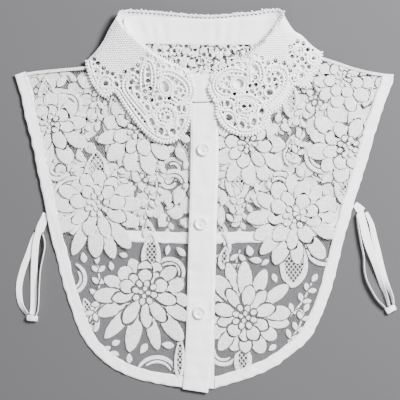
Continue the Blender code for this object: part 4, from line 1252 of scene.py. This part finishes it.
def elastic_material(name):
    return woven(name, bpy.context.scene.lace_trim.elastic_colour, 0.72, 0.0010, 0.00020)


def resin_material(name):
    """Satin resin with faint cloudy streaks."""
    colour = bpy.context.scene.lace_trim.button_colour
    made, tree, shader = plain_nodes(name, colour, 0.32)
    shader.inputs["Coat Weight"].default_value = 0.25
    shader.inputs["Subsurface Weight"].default_value = 0.1
    shader.inputs["Subsurface Scale"].default_value = 0.002
    mottled(tree, shader, colour, 0.06, 0.004, add_node(tree, "ShaderNodeTexCoord").outputs["Object"])
    return made


class LACECOLLAR_OT_back(bpy.types.Operator):
    """Makes the lace back, which lies under both fronts"""

    bl_idname = "lacecollar.back"
    bl_label = "Lace back"

    def execute(self, context):
        draft = Draft(back_outline(), back_motifs())
        draft.fill_room(BACK_ROOM, 13, [NECK_WINDOW])
        shape, area = dressed_lace(draft, "lace_back")
        # The back's material takes the under colour, which is painted shade for the lace lying under the
        # fronts.
        material = lace_material("back_lace_painted_shade", tuple(lace().under))
        made = piece("lace_under", shape, material, ["lace_back"])
        declare_cloth(made, 354, 190, area, ["collar_lace"])
        return {"FINISHED"}


class LACECOLLAR_OT_fronts(bpy.types.Operator):
    """Makes the two lace fronts"""

    bl_idname = "lacecollar.fronts"
    bl_label = "Lace fronts"

    def execute(self, context):
        for name, front in FRONTS.items():
            node = "lace_front_" + name
            shape, area = dressed_lace(drafted(front), node)
            made = piece("lace_" + name, shape, lace_material(name + "_lace"), [node])
            declare_cloth(made, 170, 330, area, ["lace_under"])
        return {"FINISHED"}


def puckered(along_size, seed):
    """Small seam puckers and soft creases, as a height in millimetres."""
    depth = bpy.context.scene.lace_cotton.pucker / MM
    fine = lambda plan: 0.5 * soft_noise(plan, along_size * 0.4, seed + 1)
    return lambda plan: depth * (soft_noise(plan, along_size, seed) + fine(plan))


def sewn_strip(name, node, left, right, thickness, ripple, seams, cut_width, rests_on, across=14, square=6):
    """A cotton strip between two routes, with a row of stitches at each of some shares of its width."""
    middle = middle_of(node, thickness)
    top = lambda plan: middle(plan) + ripple(plan) + thickness / 2
    rows = [stitches(left * (1 - share) + right * share, top) for share in seams]
    cloth = strip(left, right, middle, thickness, across, ripple, square)
    made = piece(name, together([cloth, *rows]), cotton_material(name + "_cotton"), [node])
    declare_cloth(made, cut_width, lengths(left)[-1], None, rests_on)


def bound_edge(name, node, edge, side, thickness, foot=None, rests_on=()):
    """A folded binding along an outer edge, stitched near both of its own edges."""
    outer = through(edge, 2.5)
    inner = beside(outer, side * (BINDING_WIDTH + 0.5 * soft_noise(outer, 16.0, 21)))
    outer = beside(outer, side * (0.3 + 0.45 * soft_noise(outer, 13.0, 22)))
    if foot:
        inner[-1] = foot
    ripple = puckered(9.0, len(name))
    sewn_strip(name, node, outer, inner, thickness, ripple, (0.14, 0.87), BINDING_WIDTH, rests_on)


class LACECOLLAR_OT_bindings(bpy.types.Operator):
    """Makes the folded bindings of the armholes and hems"""

    bl_idname = "lacecollar.bindings"
    bl_label = "Bindings"

    def execute(self, context):
        bound_edge("bound_back_left", "binding_back_left", BACK_LEFT_EDGE, 1, BACK_BINDING)
        bound_edge("bound_back_right", "binding_back_right", BACK_RIGHT_EDGE, -1, BACK_BINDING)
        bound_edge("bound_back_hem", "binding_back_hem", BACK_HEM, 1, BACK_BINDING)
        for name, front in FRONTS.items():
            node = "binding_front_" + name
            bound_edge("bound_" + name, node, front.edge, front.side, BINDING, front.foot, ["lace_under"])
        return {"FINISHED"}


def placket_strip(name, node, left, right, seed, rests_on):
    """A placket strip with a row of stitches along each long edge."""
    shares = np.linspace(0, 1, 116)
    left, right = through(left, 0.5), through(right, 0.5)
    left = at_lengths(left, lengths(left), shares * lengths(left)[-1])
    right = at_lengths(right, lengths(right), shares * lengths(right)[-1])
    ripple = puckered(16.0, seed)
    sewn_strip(name, node, left, right, PLACKET, ripple, (0.085, 0.915), PLACKET_WIDTH, rests_on, 22, 14)


class LACECOLLAR_OT_placket(bpy.types.Operator):
    """Makes the under and the upper placket strip"""

    bl_idname = "lacecollar.placket"
    bl_label = "Placket"

    def execute(self, context):
        placket_strip("button_strip", "placket_under", UNDER_LEFT, UNDER_RIGHT, 31, ["lace_under"])
        placket_strip("buttonhole_strip", "placket_upper", UPPER_LEFT, UPPER_RIGHT, 33, ["button_strip"])
        return {"FINISHED"}


class LACECOLLAR_OT_neckband(bpy.types.Operator):
    """Makes the neckband, one cotton strip round the neck with its ends lapped"""

    bl_idname = "lacecollar.neckband"
    bl_label = "Neckband"

    def execute(self, context):
        rows = through(STAND_ROWS, 2.5)
        share = eased(14)
        middle = rows[:, None, :3] * (1 - share)[None, :, None] + rows[:, None, 3:] * share[None, :, None]
        flat = middle.reshape(-1, 3)
        out = unit(np.cross(np.gradient(middle, axis=0), np.gradient(middle, axis=1)))
        run = np.broadcast_to(lengths(rows)[:, None], middle.shape[:2])
        crease = 0.55 * np.sin(run / 2.1) * np.sin(run / 23.0 + 1.0) ** 2 * np.sin(math.pi * share)[None]
        middle[..., 2] += crease + swayed(flat).reshape(crease.shape)
        half = out * (STAND / 2 * rounding(share, 8))[None, :, None]
        rings = np.concatenate([middle + half, (middle - half)[:, ::-1][:, 1:-1]], axis=1)
        material = cotton_material("neckband_cotton")
        made = piece("neckband", lofted(rings), material, ["collar_stand"])
        declare_cloth(made, 27, lengths(rows)[-1], None, ["lace_under"], "folded")
        return {"FINISHED"}


# The collar's cords stand this far over its sheet; from further than this reach, seeded ground takes over
SHEET_DROP = 0.45
FIGURE_REACH = 4.4
GROUND_PITCH = 2.5
# Raised cords of the collar's right front, then of its left front
RIGHT_CORDS = [
    [(247, 74), (240, 70), (231, 69), (221.5, 72), (215, 78.5), (213, 86), (215, 92.5), (221, 97.4),
     (227.6, 98), (231.6, 94.4),
     (229.6, 90.2), (224.4, 88.8), (219.8, 86.4), (218.8, 81.8), (222.4, 77.8), (228, 76), (234, 76.2)],
    [(243.5, 73.2), (232, 72.2), (223.4, 75), (217.4, 80.4), (215.9, 86), (217.8, 91), (222.6, 94.4),
     (227, 94.6)],
    [(246.5, 90), (247.6, 80), (247, 72), (249.2, 65), (254.2, 60.6), (259.4, 62.8), (262.6, 69),
     (263.6, 76), (262.4, 82), (259, 88)],
    [(250.4, 82), (250, 72.6), (251.4, 67), (254.4, 64.4), (257.6, 66.4), (259.4, 71.5), (260, 77),
     (258.4, 82)],
    [(264.6, 76), (266.8, 70.4), (271.6, 66.6), (278, 66.2), (284, 69.4), (287.4, 76), (286.8, 84.5),
     (283, 92), (277, 98.6),
     (270.4, 104.2), (265.4, 107.4)],
    [(267.4, 77.4), (270, 73.8), (274.5, 70.8), (279.4, 72), (282.8, 76.4), (283.2, 82.6), (280.2, 90),
     (274.6, 96),
     (268.4, 101), (262.4, 103.8)],
    [(271.6, 77), (276, 77.2), (279, 81), (278.8, 86), (276.4, 91.4), (273.2, 95.2)],
    [(232.4, 98.2), (240, 95.4), (249, 95.4), (258, 99.4), (264, 105.2)],
    [(231.6, 103.4), (238.4, 101), (247, 100.4), (255, 103.2), (259.2, 107.4)],
    [(213, 101.4), (217.4, 99.4), (223.8, 99.6), (230.4, 101.4), (233.4, 106), (233.2, 111)],
    [(218.4, 109.6), (224.4, 110.6), (231.6, 111.6), (235.4, 116.4), (236.2, 121)],
    [(236.2, 121), (239.4, 118.4), (244.6, 118.8), (247.6, 122.6), (249.4, 117.6), (254.6, 116.4),
     (257.4, 119)],
    [(257.4, 119), (257, 112), (258.6, 106.8), (262.6, 105.4), (265.6, 109), (265.4, 116), (262.4, 121)],
]
LEFT_CORDS = [
    [(157, 73.6), (164, 71), (173, 72), (181.6, 76.6), (188, 83.4), (190.6, 91), (188.6, 98.6),
     (183, 102.6), (176.4, 101.8),
     (172, 97.4), (172, 92), (175.4, 88), (180, 87.6), (183.6, 90)],
    [(160, 76.4), (167.4, 75), (175.6, 77.6), (182.6, 82.8), (186.4, 89), (186, 95.4), (181.6, 99),
     (177, 97.6)],
    [(141, 90), (140.6, 80), (141.6, 70), (144.6, 62.8), (149, 60.4), (153, 65), (155, 73), (155.8, 82),
     (153.6, 92)],
    [(145, 84), (144.6, 74), (146.2, 66.6), (149, 64.4), (151, 68.6), (152, 76), (151.4, 85)],
    [(139, 79), (136, 75.4), (131, 74.4), (126, 77.4), (123, 83.4), (124, 91), (130, 99.6),
     (137, 108.4), (143.6, 116.4),
     (149.4, 124.4)],
    [(136.4, 82), (133, 78.6), (129.4, 79.6), (127, 84.2), (128, 91), (133.6, 98.8), (140, 106.6),
     (146.6, 114.4)],
    [(133, 86), (133.4, 92), (137.8, 99.6), (143.4, 106.6), (147.6, 112.4)],
    [(149.4, 108), (155.6, 103), (164, 101), (172, 102.6), (178, 106)],
    [(152, 113), (157.6, 108.4), (165, 106.4), (172, 108), (176.6, 112.4)],
    [(192, 104.6), (187, 103.8), (181, 104.4), (175.4, 106.6), (174, 112), (176, 117)],
    [(190.6, 116.4), (185.6, 116), (179.4, 116.6), (176.4, 121), (177, 127)],
    [(177, 127), (173.6, 124.6), (168.6, 125.6), (166.6, 129.8), (164.8, 124.6), (160, 123.6),
     (156.6, 126.4)],
    [(156.6, 126.4), (156.4, 119.6), (153.6, 115), (148.8, 116), (147, 120.4), (148.8, 126.4),
     (152.6, 129.8)],
]
# Rings of cord: across, down, long size, short size, turn
RINGS = [
    (238.6, 84.5, 12.2, 11.6, 0), (238.6, 84.5, 17.0, 16.2, 0), (268.8, 93.0, 10.0, 8.2, 0),
    (267.6, 81.2, 9.0, 6.8, -60),
    (246.0, 107.0, 12.0, 10.0, 0), (246.0, 107.0, 19.0, 18.0, 0), (246.0, 107.4, 25.0, 24.0, 0),
    (301.0, 76.0, 16.4, 16.0, 0), (301.0, 76.0, 8.4, 8.2, 0), (313.0, 59.0, 13.0, 12.4, 0),
    (313.0, 59.0, 6.4, 6.0, 0),
    (298.6, 51.0, 9.6, 9.0, 0),
    (165.2, 87.4, 14.0, 9.4, 75), (165.2, 87.4, 18.6, 14.0, 75), (165.4, 116.0, 12.0, 10.0, 0),
    (165.4, 116.0, 18.6, 18.0, 0),
    (165.4, 116.4, 24.0, 23.0, 0), (105.6, 84.2, 17.0, 16.6, 0), (105.6, 84.2, 9.6, 9.2, 0),
    (96.0, 72.0, 9.0, 8.4, 0),
]
# Rows of small open eyelets between cords, and their pitch
EYELETS = [
    ([(268, 69.4), (277, 68.8), (283, 72.8), (285.2, 79.6), (283.4, 87.4), (278, 94.8), (271.2, 101.4),
     (266, 105)], 3.2, 0.75),
    ([(240, 71.6), (231, 70.6), (222.4, 73.6), (216.4, 79.4), (214.4, 86), (216.4, 91.8),
     (222, 96)], 3.2, 0.75),
    ([(289.4, 91), (284.6, 98), (278.4, 104.4), (272, 109)], 2.8, 0.7),
    ([(288, 86), (284.4, 93.6), (278.6, 100.4), (272.2, 106)], 2.8, 0.7),
    ([(236.6, 110), (239.4, 115), (246, 118), (252.6, 115.4), (256, 110.4)], 2.9, 0.75),
    ([(160, 73.8), (168, 73.4), (176.6, 76.4), (184, 81.6), (188.4, 88), (187.6, 96.4)], 3.2, 0.75),
    ([(133, 76.6), (127.6, 78.8), (124.8, 84.6), (126.2, 91), (132, 99.4), (138.6, 107.4),
     (145, 115.4)], 3.2, 0.7),
    ([(118.6, 88), (122.6, 97), (128.6, 106), (135, 114.6), (141.6, 122.6), (147, 128)], 2.8, 0.7),
    ([(156, 118), (158.4, 124), (165.2, 127), (172, 124.4), (175, 118.6)], 2.9, 0.75),
]


# Small rosettes of nine eyelets: across, down, radius
SMALL_ROSETTES = [
    (301.0, 76.0, 5.9), (313.0, 59.0, 3.4), (105.6, 84.2, 5.9), (298.6, 51.0, 3.4), (96.0, 72.0, 3.4),
]


def ring_of_eyelets(across, down, radius, count, size):
    return [oval(polar((across, down), radius, 360 * k / count), size, size, 0, 6) for k in range(count)]


def eyelet_outlines():
    """All the small open eyelets of the two collar fronts."""
    outlines = []
    for rows, pitch, radius in EYELETS:
        route = through(rows, pitch)
        for spot, way in zip(route, np.gradient(route, axis=0)):
            turn = math.degrees(math.atan2(way[1], way[0]))
            outlines.append(oval(spot, 2.6 * radius, 1.7 * radius, turn, 7))
    for across, down, radius in SMALL_ROSETTES:
        outlines += ring_of_eyelets(across, down, radius, 9, 1.5)
    return outlines


def away_from(points, spots):
    """Each spot's distance to the nearest of the points."""
    tree = KDTree(len(points))
    for index, point in enumerate(points):
        tree.insert((point[0], point[1], 0), index)
    tree.balance()
    return np.array([tree.find((x, y, 0))[2] for x, y in spots])


def lattice(outline, pitch, wall, loose=0.16):
    """Spots on a slanted lattice inside an outline, further than wall from it."""
    low, high = outline.min(0), outline.max(0)
    rows = np.arange(low[1], high[1], pitch * 0.866)
    across = np.arange(low[0], high[0], pitch)
    spots = np.array([(x + (k % 2) * pitch / 2, y) for k, y in enumerate(rows) for x in across])
    spots += pitch * loose * np.stack([soft_noise(spots, 3.1, 41), soft_noise(spots, 2.7, 42)], axis=1)
    spots = spots[inside(outline, spots)]
    return spots[to_outline(outline, spots) > wall]


def grid_inside(outline, pitch):
    """Points on a square grid inside an outline."""
    axes = [np.arange(low, high, pitch) for low, high in zip(outline.min(0), outline.max(0))]
    spots = np.stack(np.meshgrid(*axes), axis=-1).reshape(-1, 2)
    return spots[inside(outline, spots)]


def work_holes(outline, lines, taken, reach):
    """Round holes that fill the spaces between cords, largest first, up to reach from a cord."""
    bar, least, largest = 0.85, 0.45, 2.4
    spots = grid_inside(outline, 0.45)
    away = away_from(np.vstack(lines), spots)
    near = away < reach
    spots, away = spots[near], np.minimum(away[near], to_outline(outline, spots[near]) - 0.6)
    for hole in taken:
        away = np.minimum(away, np.where(inside(hole, spots), 0, to_outline(hole, spots)))
    holes = []
    while away.max() > bar + least:
        best = away.argmax()
        radius = min(away[best] - bar, largest)
        turn = 57 * len(holes)
        holes.append(oval(spots[best], 2.1 * radius, 1.9 * radius, turn, 9 if radius > 0.8 else 6))
        away = np.minimum(away, np.linalg.norm(spots - spots[best], axis=1) - radius)
    return holes


def scalloped(route, wide, tall):
    """A route with small outward bumps along it."""
    fine = evenly(route, wide / 4)
    bump = np.abs(np.sin(lengths(fine) / wide * math.pi))
    return beside(fine, tall * bump)


def cut_sheet(outline, openings, spots, heights_of):
    """A sheet with its openings cut: spots are points inside it, heights_of its upper and lower side."""
    draft = Draft(outline, [Motif(outline, 0.0)] + [Motif(opening, 0.0, OPEN) for opening in openings])
    return [shell(plan, triangles, *heights_of(plan)) for plan, triangles, _ in cut_cloth(draft, spots)]


class LACECOLLAR_OT_fall(bpy.types.Operator):
    """Makes the corded cut-work collar: two fronts and the part that folds under at the back"""

    bl_idname = "lacecollar.fall"
    bl_label = "Collar"

    def front(self, side, rim, front_edge, scallops, side_fold, cords, top):
        """One front: its sheet with the open places cut, and the cords and seeds on it."""
        settings = bpy.context.scene.lace_fall
        thick, cord = settings.thickness / MM, settings.cord / MM
        edge = evenly(np.vstack([through(front_edge, 1.0), through(scallops, 1.0)[1:]]), 1.0)
        sheet_edge = scalloped(beside(edge, -1.0 * side), 3.2, 0.7 * side)
        outline = np.vstack([sheet_edge, through(side_fold, 2.5)[::-1][1:], through(rim, 2.5)[::-1][1:-1]])
        own_holes = [row for row in COLLAR_HOLES if inside(outline, np.array([row[:2]]))[0]]
        holes = [oval(row[:2], *row[2:]) for row in own_holes]
        holes += [eyelet for eyelet in eyelet_outlines() if inside(outline, eyelet).all()]
        figure = [through(rows, 1.0) for rows in cords]
        rings = [oval(row[:2], *row[2:], 30) for row in RINGS]
        figure += [ring for ring in rings if inside(outline, ring).all()]
        figure += [swollen(oval(row[:2], *row[2:], 20), 1.3) for row in own_holes]
        rims = [beside(edge, -1.5 * side), beside(edge, -4.6 * side)]
        spaces = work_holes(outline, figure + rims, holes, FIGURE_REACH)
        ground = lattice(outline, GROUND_PITCH, 1.6)
        ground = ground[away_from(np.vstack(figure + rims), ground) > FIGURE_REACH]
        pins = [oval(spot, 1.0, 0.84, 30, 5) for spot in ground + (GROUND_PITCH / 2, GROUND_PITCH * 0.29)]
        pins = [pin for pin in pins if inside(outline, pin).all()]

        def heights_of(plan):
            height = top(plan) + 0.16 * soft_noise(plan, 3.2, 8) - SHEET_DROP
            return height, height - thick

        shapes = cut_sheet(outline, holes + spaces + pins, lattice(outline, 1.6, 0.5), heights_of)
        lay = lambda plan, lift: np.column_stack([plan, top(plan) + lift])
        shapes.append(tubes([lay(through(rows, 1.4), 0.0) for rows in cords], cord, 7))
        rings = [np.vstack([ring, ring[:2]])[::2] for ring in figure[len(cords) :]]
        shapes.append(tubes([lay(ring, -0.1) for ring in rings], cord * 0.85, 6))
        shapes.append(tubes([lay(evenly(line, 1.5), -0.15) for line in rims], cord * 0.8, 6))
        picots = lay(beside(evenly(edge, 3.2), 0.1 * side), -0.35)
        shapes.append(beads(picots, settings.picot / MM, 0.8, 8))
        rim_beads = lay(beside(evenly(through(rim, 1.0), 3.0), -0.5 * side), -0.1)
        shapes.append(beads(rim_beads, 1.15, 0.8, 7))
        shapes.append(beads(lay(ground, -0.15), 0.66, 0.75, 6))
        return together(shapes)

    def back(self, bottom):
        """The part under the neckband, which lies on the table, with its row of rosettes."""
        settings = bpy.context.scene.lace_fall
        edge = scalloped(through(BACK_FALL_EDGE, 1.0), 2.4, -0.8)[::-1]
        left, right = through(LEFT_SIDE_FOLD, 2.5)[::-1], through(RIGHT_SIDE_FOLD, 2.5)
        outline = np.vstack([edge, left[1:], through(BACK_RIM, 2.5)[1:], right[1:-1]])
        holes = [oval(spot, ROSETTE_HOLE, ROSETTE_HOLE, 0, 14) for spot in BACK_ROSETTES]
        eyelets = [o for spot in BACK_ROSETTES for o in ring_of_eyelets(*spot, 6.6, 12, 1.7)]
        pins = [oval(spot, 2.6, 1.5, 0, 7) for spot in through(np.array(BACK_RIM) + (0, 1.7), 4.2)[3:-3]]
        ground = lattice(outline, 5.8, 3.0, 0.34)
        ground = ground[(away_from(BACK_ROSETTES, ground) > 9.6) & (ground[:, 1] > 43.0)]
        pins += [oval(spot, 4.0 + spot[0] % 1.4, 3.6 + spot[1] % 1.0, 40 * spot[0], 8) for spot in ground]
        low = lambda plan: np.maximum(bottom(plan), 0.05)
        heights_of = lambda plan: (low(plan) + settings.thickness / MM, low(plan))
        shapes = cut_sheet(outline, holes + eyelets + pins, grid_inside(outline, 3.0), heights_of)
        lay = lambda plan, lift: np.column_stack([plan, low(plan) + lift])
        rings = [np.vstack([o, o[:1]]) for o in (swollen(h, 0.9) for h in holes)]
        shapes.append(tubes([lay(ring, 0.5) for ring in rings], 0.6, 6))
        rim = through(BACK_RIM, 1.0)
        for phase in (0.0, math.pi):
            wavy = beside(rim, -0.1 + 0.7 * np.sin(lengths(rim) * math.pi / 4.2 + phase))
            shapes.append(tubes([lay(wavy, 0.9)], 0.5, 6))
        loops = evenly(rim, 2.1)
        jagged = beside(loops, 0.6 + 0.9 * soft_noise(loops, 3.6, 61))
        shapes.append(beads(lay(jagged, 0.9), settings.picot / MM * 0.8, 0.8))
        return together(shapes)

    def execute(self, context):
        top = HeightMap(["collar_fall"], True, 1.2, 1)
        bottom = HeightMap(["collar_fall"], False, 1.5, 1)
        shapes = [
            self.front(1, LEFT_RIM, LEFT_FRONT_EDGE, LEFT_SCALLOPS, LEFT_SIDE_FOLD, LEFT_CORDS, top),
            self.front(-1, RIGHT_RIM, RIGHT_FRONT_EDGE, RIGHT_SCALLOPS, RIGHT_SIDE_FOLD, RIGHT_CORDS, top),
            self.back(bottom),
        ]
        material = corded_material("collar_cords")
        made = piece("collar_lace", together(shapes), material, ["collar_fall"])
        declare_cloth(made, 90, 480, 0.032, ["lace_left", "lace_right"], "folded")
        return {"FINISHED"}


class LACECOLLAR_OT_buttons(bpy.types.Operator):
    """Makes the two-hole buttons with their sewing thread"""

    bl_idname = "lacecollar.buttons"
    bl_label = "Buttons"

    # Half of the button's section, from the middle of its face round to the middle of its back
    PROFILE = [
        (0.0, 1.35), (1.8, 1.32), (3.0, 1.28), (3.7, 1.35), (4.3, 1.75), (4.8, 2.15), (5.3, 2.33),
        (5.8, 2.3),
        (6.25, 2.05), (6.48, 1.65), (6.5, 1.3), (6.3, 0.85), (5.8, 0.4), (4.8, 0.12), (3.2, 0.0),
        (0.0, 0.0),
    ]
    SIDES = 40
    HOLE_PITCH = 3.2
    # Each thread's run between the holes and its height there
    THREAD = [(-1.75, 0.3), (-1.5, 1.25), (-0.9, 1.62), (0.0, 1.68), (0.9, 1.62), (1.5, 1.25), (1.75, 0.3)]

    def execute(self, context):
        turn = np.linspace(0, math.tau, self.SIDES, endpoint=False)
        points = [(0, 0, self.PROFILE[0][1])]
        for radius, height in self.PROFILE[1:-1]:
            points += [(radius * math.cos(t), radius * math.sin(t), height) for t in turn]
        points = np.array([*points, (0, 0, 0)])
        faces = [face[::-1] for face in turned_faces(len(self.PROFILE) - 2, self.SIDES)]
        for name, (across, down, angle) in BUTTONS.items():
            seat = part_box(name)[0][2] / MM
            disc = Shape(points + (across, down, seat), faces)
            made = piece(name + "_resin", disc, resin_material(name + "_resin"), [name], 35)
            self.drill(made, np.array([across, down]), bearing(-angle))
            self.sew(name, np.array([across, down]), bearing(-angle), seat)
        return {"FINISHED"}

    def drill(self, made, centre, way):
        """Cuts the two thread holes through a button."""
        cutters = []
        for side in (-self.HOLE_PITCH / 2, self.HOLE_PITCH / 2):
            spot = table_of([(*(centre + way * side), 3.0)])[0]
            bpy.ops.mesh.primitive_cylinder_add(vertices=16, radius=0.95 * MM, depth=0.02, location=spot)
            cutters.append(bpy.context.object)
        for cutter in cutters:
            cut = made.modifiers.new("thread_hole", "BOOLEAN")
            cut.operation = "DIFFERENCE"
            cut.object = cutter
        depsgraph = bpy.context.evaluated_depsgraph_get()
        mesh = bpy.data.meshes.new_from_object(made.evaluated_get(depsgraph))
        made.modifiers.clear()
        made.data = mesh
        for cutter in cutters:
            bpy.data.objects.remove(cutter)

    def sew(self, name, centre, way, seat):
        """Lays the sewing threads between a button's holes."""
        side = np.array([-way[1], way[0]])
        routes = []
        for offset in (-0.42, -0.14, 0.14, 0.42):
            spots = [centre + way * run + side * offset for run, _ in self.THREAD]
            routes.append(np.array([(*spot, seat + high) for spot, (_, high) in zip(spots, self.THREAD)]))
        made = piece(name + "_thread", tubes(routes, 0.17, 6), cotton_material(name + "_thread"), [])
        made.parent = bpy.data.objects[name + "_resin"]


class LACECOLLAR_OT_elastics(bpy.types.Operator):
    """Makes the elastic side loops with ribbed tape and oversewn ends"""

    bl_idname = "lacecollar.elastics"
    bl_label = "Elastics"

    SMALLEST_CUT = 10

    def execute(self, context):
        for name, rows in ELASTICS.items():
            shape, width, run = self.tape(rows)
            made = piece(name + "_tape", shape, elastic_material(name + "_weave"), [name], 30)
            flat = max(width, self.SMALLEST_CUT), max(run, self.SMALLEST_CUT)
            declare_cloth(made, *flat, width * run * MM * MM)
        for name, row in TACKS.items():
            piece(name + "_oversewn", self.tack(*row), elastic_material(name + "_thread"), [name])
        return {"FINISHED"}

    def tape(self, rows):
        """A ribbed tape along a route of across, down, height, tilt and width."""
        route = through(rows, 1.6)
        along = headings(route[:, :2])
        tilt, width = np.radians(route[:, 3]), route[:, 4]
        side = np.column_stack([along[:, 1] * np.cos(tilt), -along[:, 0] * np.cos(tilt), np.sin(tilt)])
        out = np.column_stack([-along[:, 1] * np.sin(tilt), along[:, 0] * np.sin(tilt), np.cos(tilt)])
        ribs = bpy.context.scene.lace_trim.ribs
        share = np.linspace(-1, 1, ribs * 4 + 1)
        rib = 0.34 + 0.13 * np.abs(np.cos(share * ribs * math.pi / 2)) ** 0.5
        rib *= np.sqrt(np.maximum(1 - np.abs(share) ** 10, 0.02))
        crimp = 1 + 0.1 * np.sin(lengths(route) * 2.2)
        half = (width / 2)[:, None] * share[None]
        centre = route[:, None, :3] + side[:, None] * half[..., None]
        lift = (crimp[:, None] * rib[None])[..., None] * out[:, None]
        rings = np.concatenate([centre + lift, (centre - lift)[:, ::-1]], axis=1)
        rings[..., 2] = np.maximum(rings[..., 2], 0.03)
        return lofted(rings), width.mean(), lengths(route)[-1]

    def tack(self, across, down, long_size, short_size, height, turn):
        """A dense knot of oversewing threads wound over the folded ends."""
        rng = np.random.default_rng(int(across))
        centre, way = np.array([across, down]), bearing(turn)
        side = np.array([-way[1], way[0]])
        turns = np.linspace(0, math.tau, 13)
        routes = []
        for k in range(15):
            run = (k / 14 - 0.5) * (long_size - 1.2)
            lean = rng.uniform(-0.9, 0.9)
            route = []
            for a in turns:
                spot = centre + way * (run + lean * math.cos(a)) + side * short_size * 0.44 * math.sin(a)
                route.append((*spot, height / 2 + (height / 2 - 0.5) * math.cos(a)))
            routes.append(np.array(route))
        for k in range(5):
            offset = (k / 4 - 0.5) * (short_size - 1.6)
            route = []
            for run, high in ((-0.5, 0.55), (-0.3, 1.0), (0.0, 1.02), (0.3, 1.0), (0.5, 0.55)):
                spot = centre + way * long_size * 0.96 * run + side * (offset + rng.uniform(-0.3, 0.3))
                route.append((*spot, (height - 0.45) * high))
            routes.append(np.array(route))
        return tubes(routes, 0.48, 6)


class LACECOLLAR_OT_stage(bpy.types.Operator):
    """Sets the table, the lights and the camera"""

    bl_idname = "lacecollar.stage"
    bl_label = "Table and lights"

    def execute(self, context):
        settings = context.scene.lace_stage
        bpy.ops.mesh.primitive_plane_add(size=6.0, location=(0, 0, 0))
        table = bpy.context.object
        table.name = "table"
        made, tree, shader = plain_nodes("table_top", settings.table_colour, 0.7)
        where = add_node(tree, "ShaderNodeTexCoord").outputs["Object"]
        mottled(tree, shader, settings.table_colour, 0.03, 0.25, where)
        table.data.materials.append(made)
        self.light("window", (1.20, 0.95, 1.45), 0.75, 205.0)
        self.light("fill", (-0.7, -1.0, 1.3), 1.2, 8.0)
        world = bpy.data.worlds.new("room")
        world.use_nodes = True
        sky = world.node_tree.nodes["Background"].inputs
        sky["Color"].default_value = (0.95, 0.97, 1.0, 1)
        sky["Strength"].default_value = 0.42
        context.scene.world = world
        camera = bpy.data.cameras.new("camera")
        camera.lens = settings.lens
        camera.sensor_width = 36.0
        made = bpy.data.objects.new("camera", camera)
        context.scene.collection.objects.link(made)
        distance = settings.lens * settings.view_width / camera.sensor_width
        across, down = VIEW_CENTRE
        made.location = ((across - MIDDLE_ACROSS) * MM, (MIDDLE_DOWN - down) * MM, distance)
        context.scene.camera = made
        return {"FINISHED"}

    def light(self, name, place, size, power):
        lamp = bpy.data.lights.new(name, "AREA")
        lamp.shape = "DISK"
        lamp.size = size
        lamp.energy = power
        made = bpy.data.objects.new(name, lamp)
        made.location = place
        made.rotation_euler = (-Vector(place)).to_track_quat("-Z", "Y").to_euler()
        bpy.context.scene.collection.objects.link(made)


class LACECOLLAR_PT_panel(bpy.types.Panel):
    """Lists the collar's sizes, colours and making steps"""

    bl_idname = "LACECOLLAR_PT_panel"
    bl_label = "Lace Collar"
    bl_space_type = "VIEW_3D"
    bl_region_type = "UI"
    bl_category = "Lace Collar"

    def draw(self, context):
        layout = self.layout
        for name, (_, group) in SETTINGS.items():
            box = layout.box()
            box.label(text=group)
            settings = getattr(context.scene, name)
            for key in settings.__annotations__:
                box.prop(settings, key)
        for operator in OPERATORS:
            layout.operator(operator.bl_idname)


SETTINGS = {
    "lace_cloth": (LaceSettings, "Lace"),
    "lace_cotton": (CottonSettings, "Cotton"),
    "lace_fall": (FallSettings, "Collar"),
    "lace_trim": (TrimSettings, "Buttons and elastic"),
    "lace_stage": (StageSettings, "Stage"),
}
OPERATORS = (
    LACECOLLAR_OT_back,
    LACECOLLAR_OT_fronts,
    LACECOLLAR_OT_bindings,
    LACECOLLAR_OT_placket,
    LACECOLLAR_OT_neckband,
    LACECOLLAR_OT_fall,
    LACECOLLAR_OT_buttons,
    LACECOLLAR_OT_elastics,
    LACECOLLAR_OT_stage,
)


def register():
    for name, (group, _) in SETTINGS.items():
        bpy.utils.register_class(group)
        setattr(bpy.types.Scene, name, PointerProperty(type=group))
    for operator in OPERATORS:
        bpy.utils.register_class(operator)
    bpy.utils.register_class(LACECOLLAR_PT_panel)


def unregister():
    bpy.utils.unregister_class(LACECOLLAR_PT_panel)
    for operator in reversed(OPERATORS):
        bpy.utils.unregister_class(operator)
    for name, (group, _) in SETTINGS.items():
        delattr(bpy.types.Scene, name)
        bpy.utils.unregister_class(group)


def main():
    register()
    bpy.ops.lacecollar.back()
    bpy.ops.lacecollar.fronts()
    bpy.ops.lacecollar.bindings()
    bpy.ops.lacecollar.placket()
    bpy.ops.lacecollar.neckband()
    bpy.ops.lacecollar.fall()
    bpy.ops.lacecollar.buttons()
    bpy.ops.lacecollar.elastics()
    bpy.ops.lacecollar.stage()


if __name__ == "__main__":
    main()
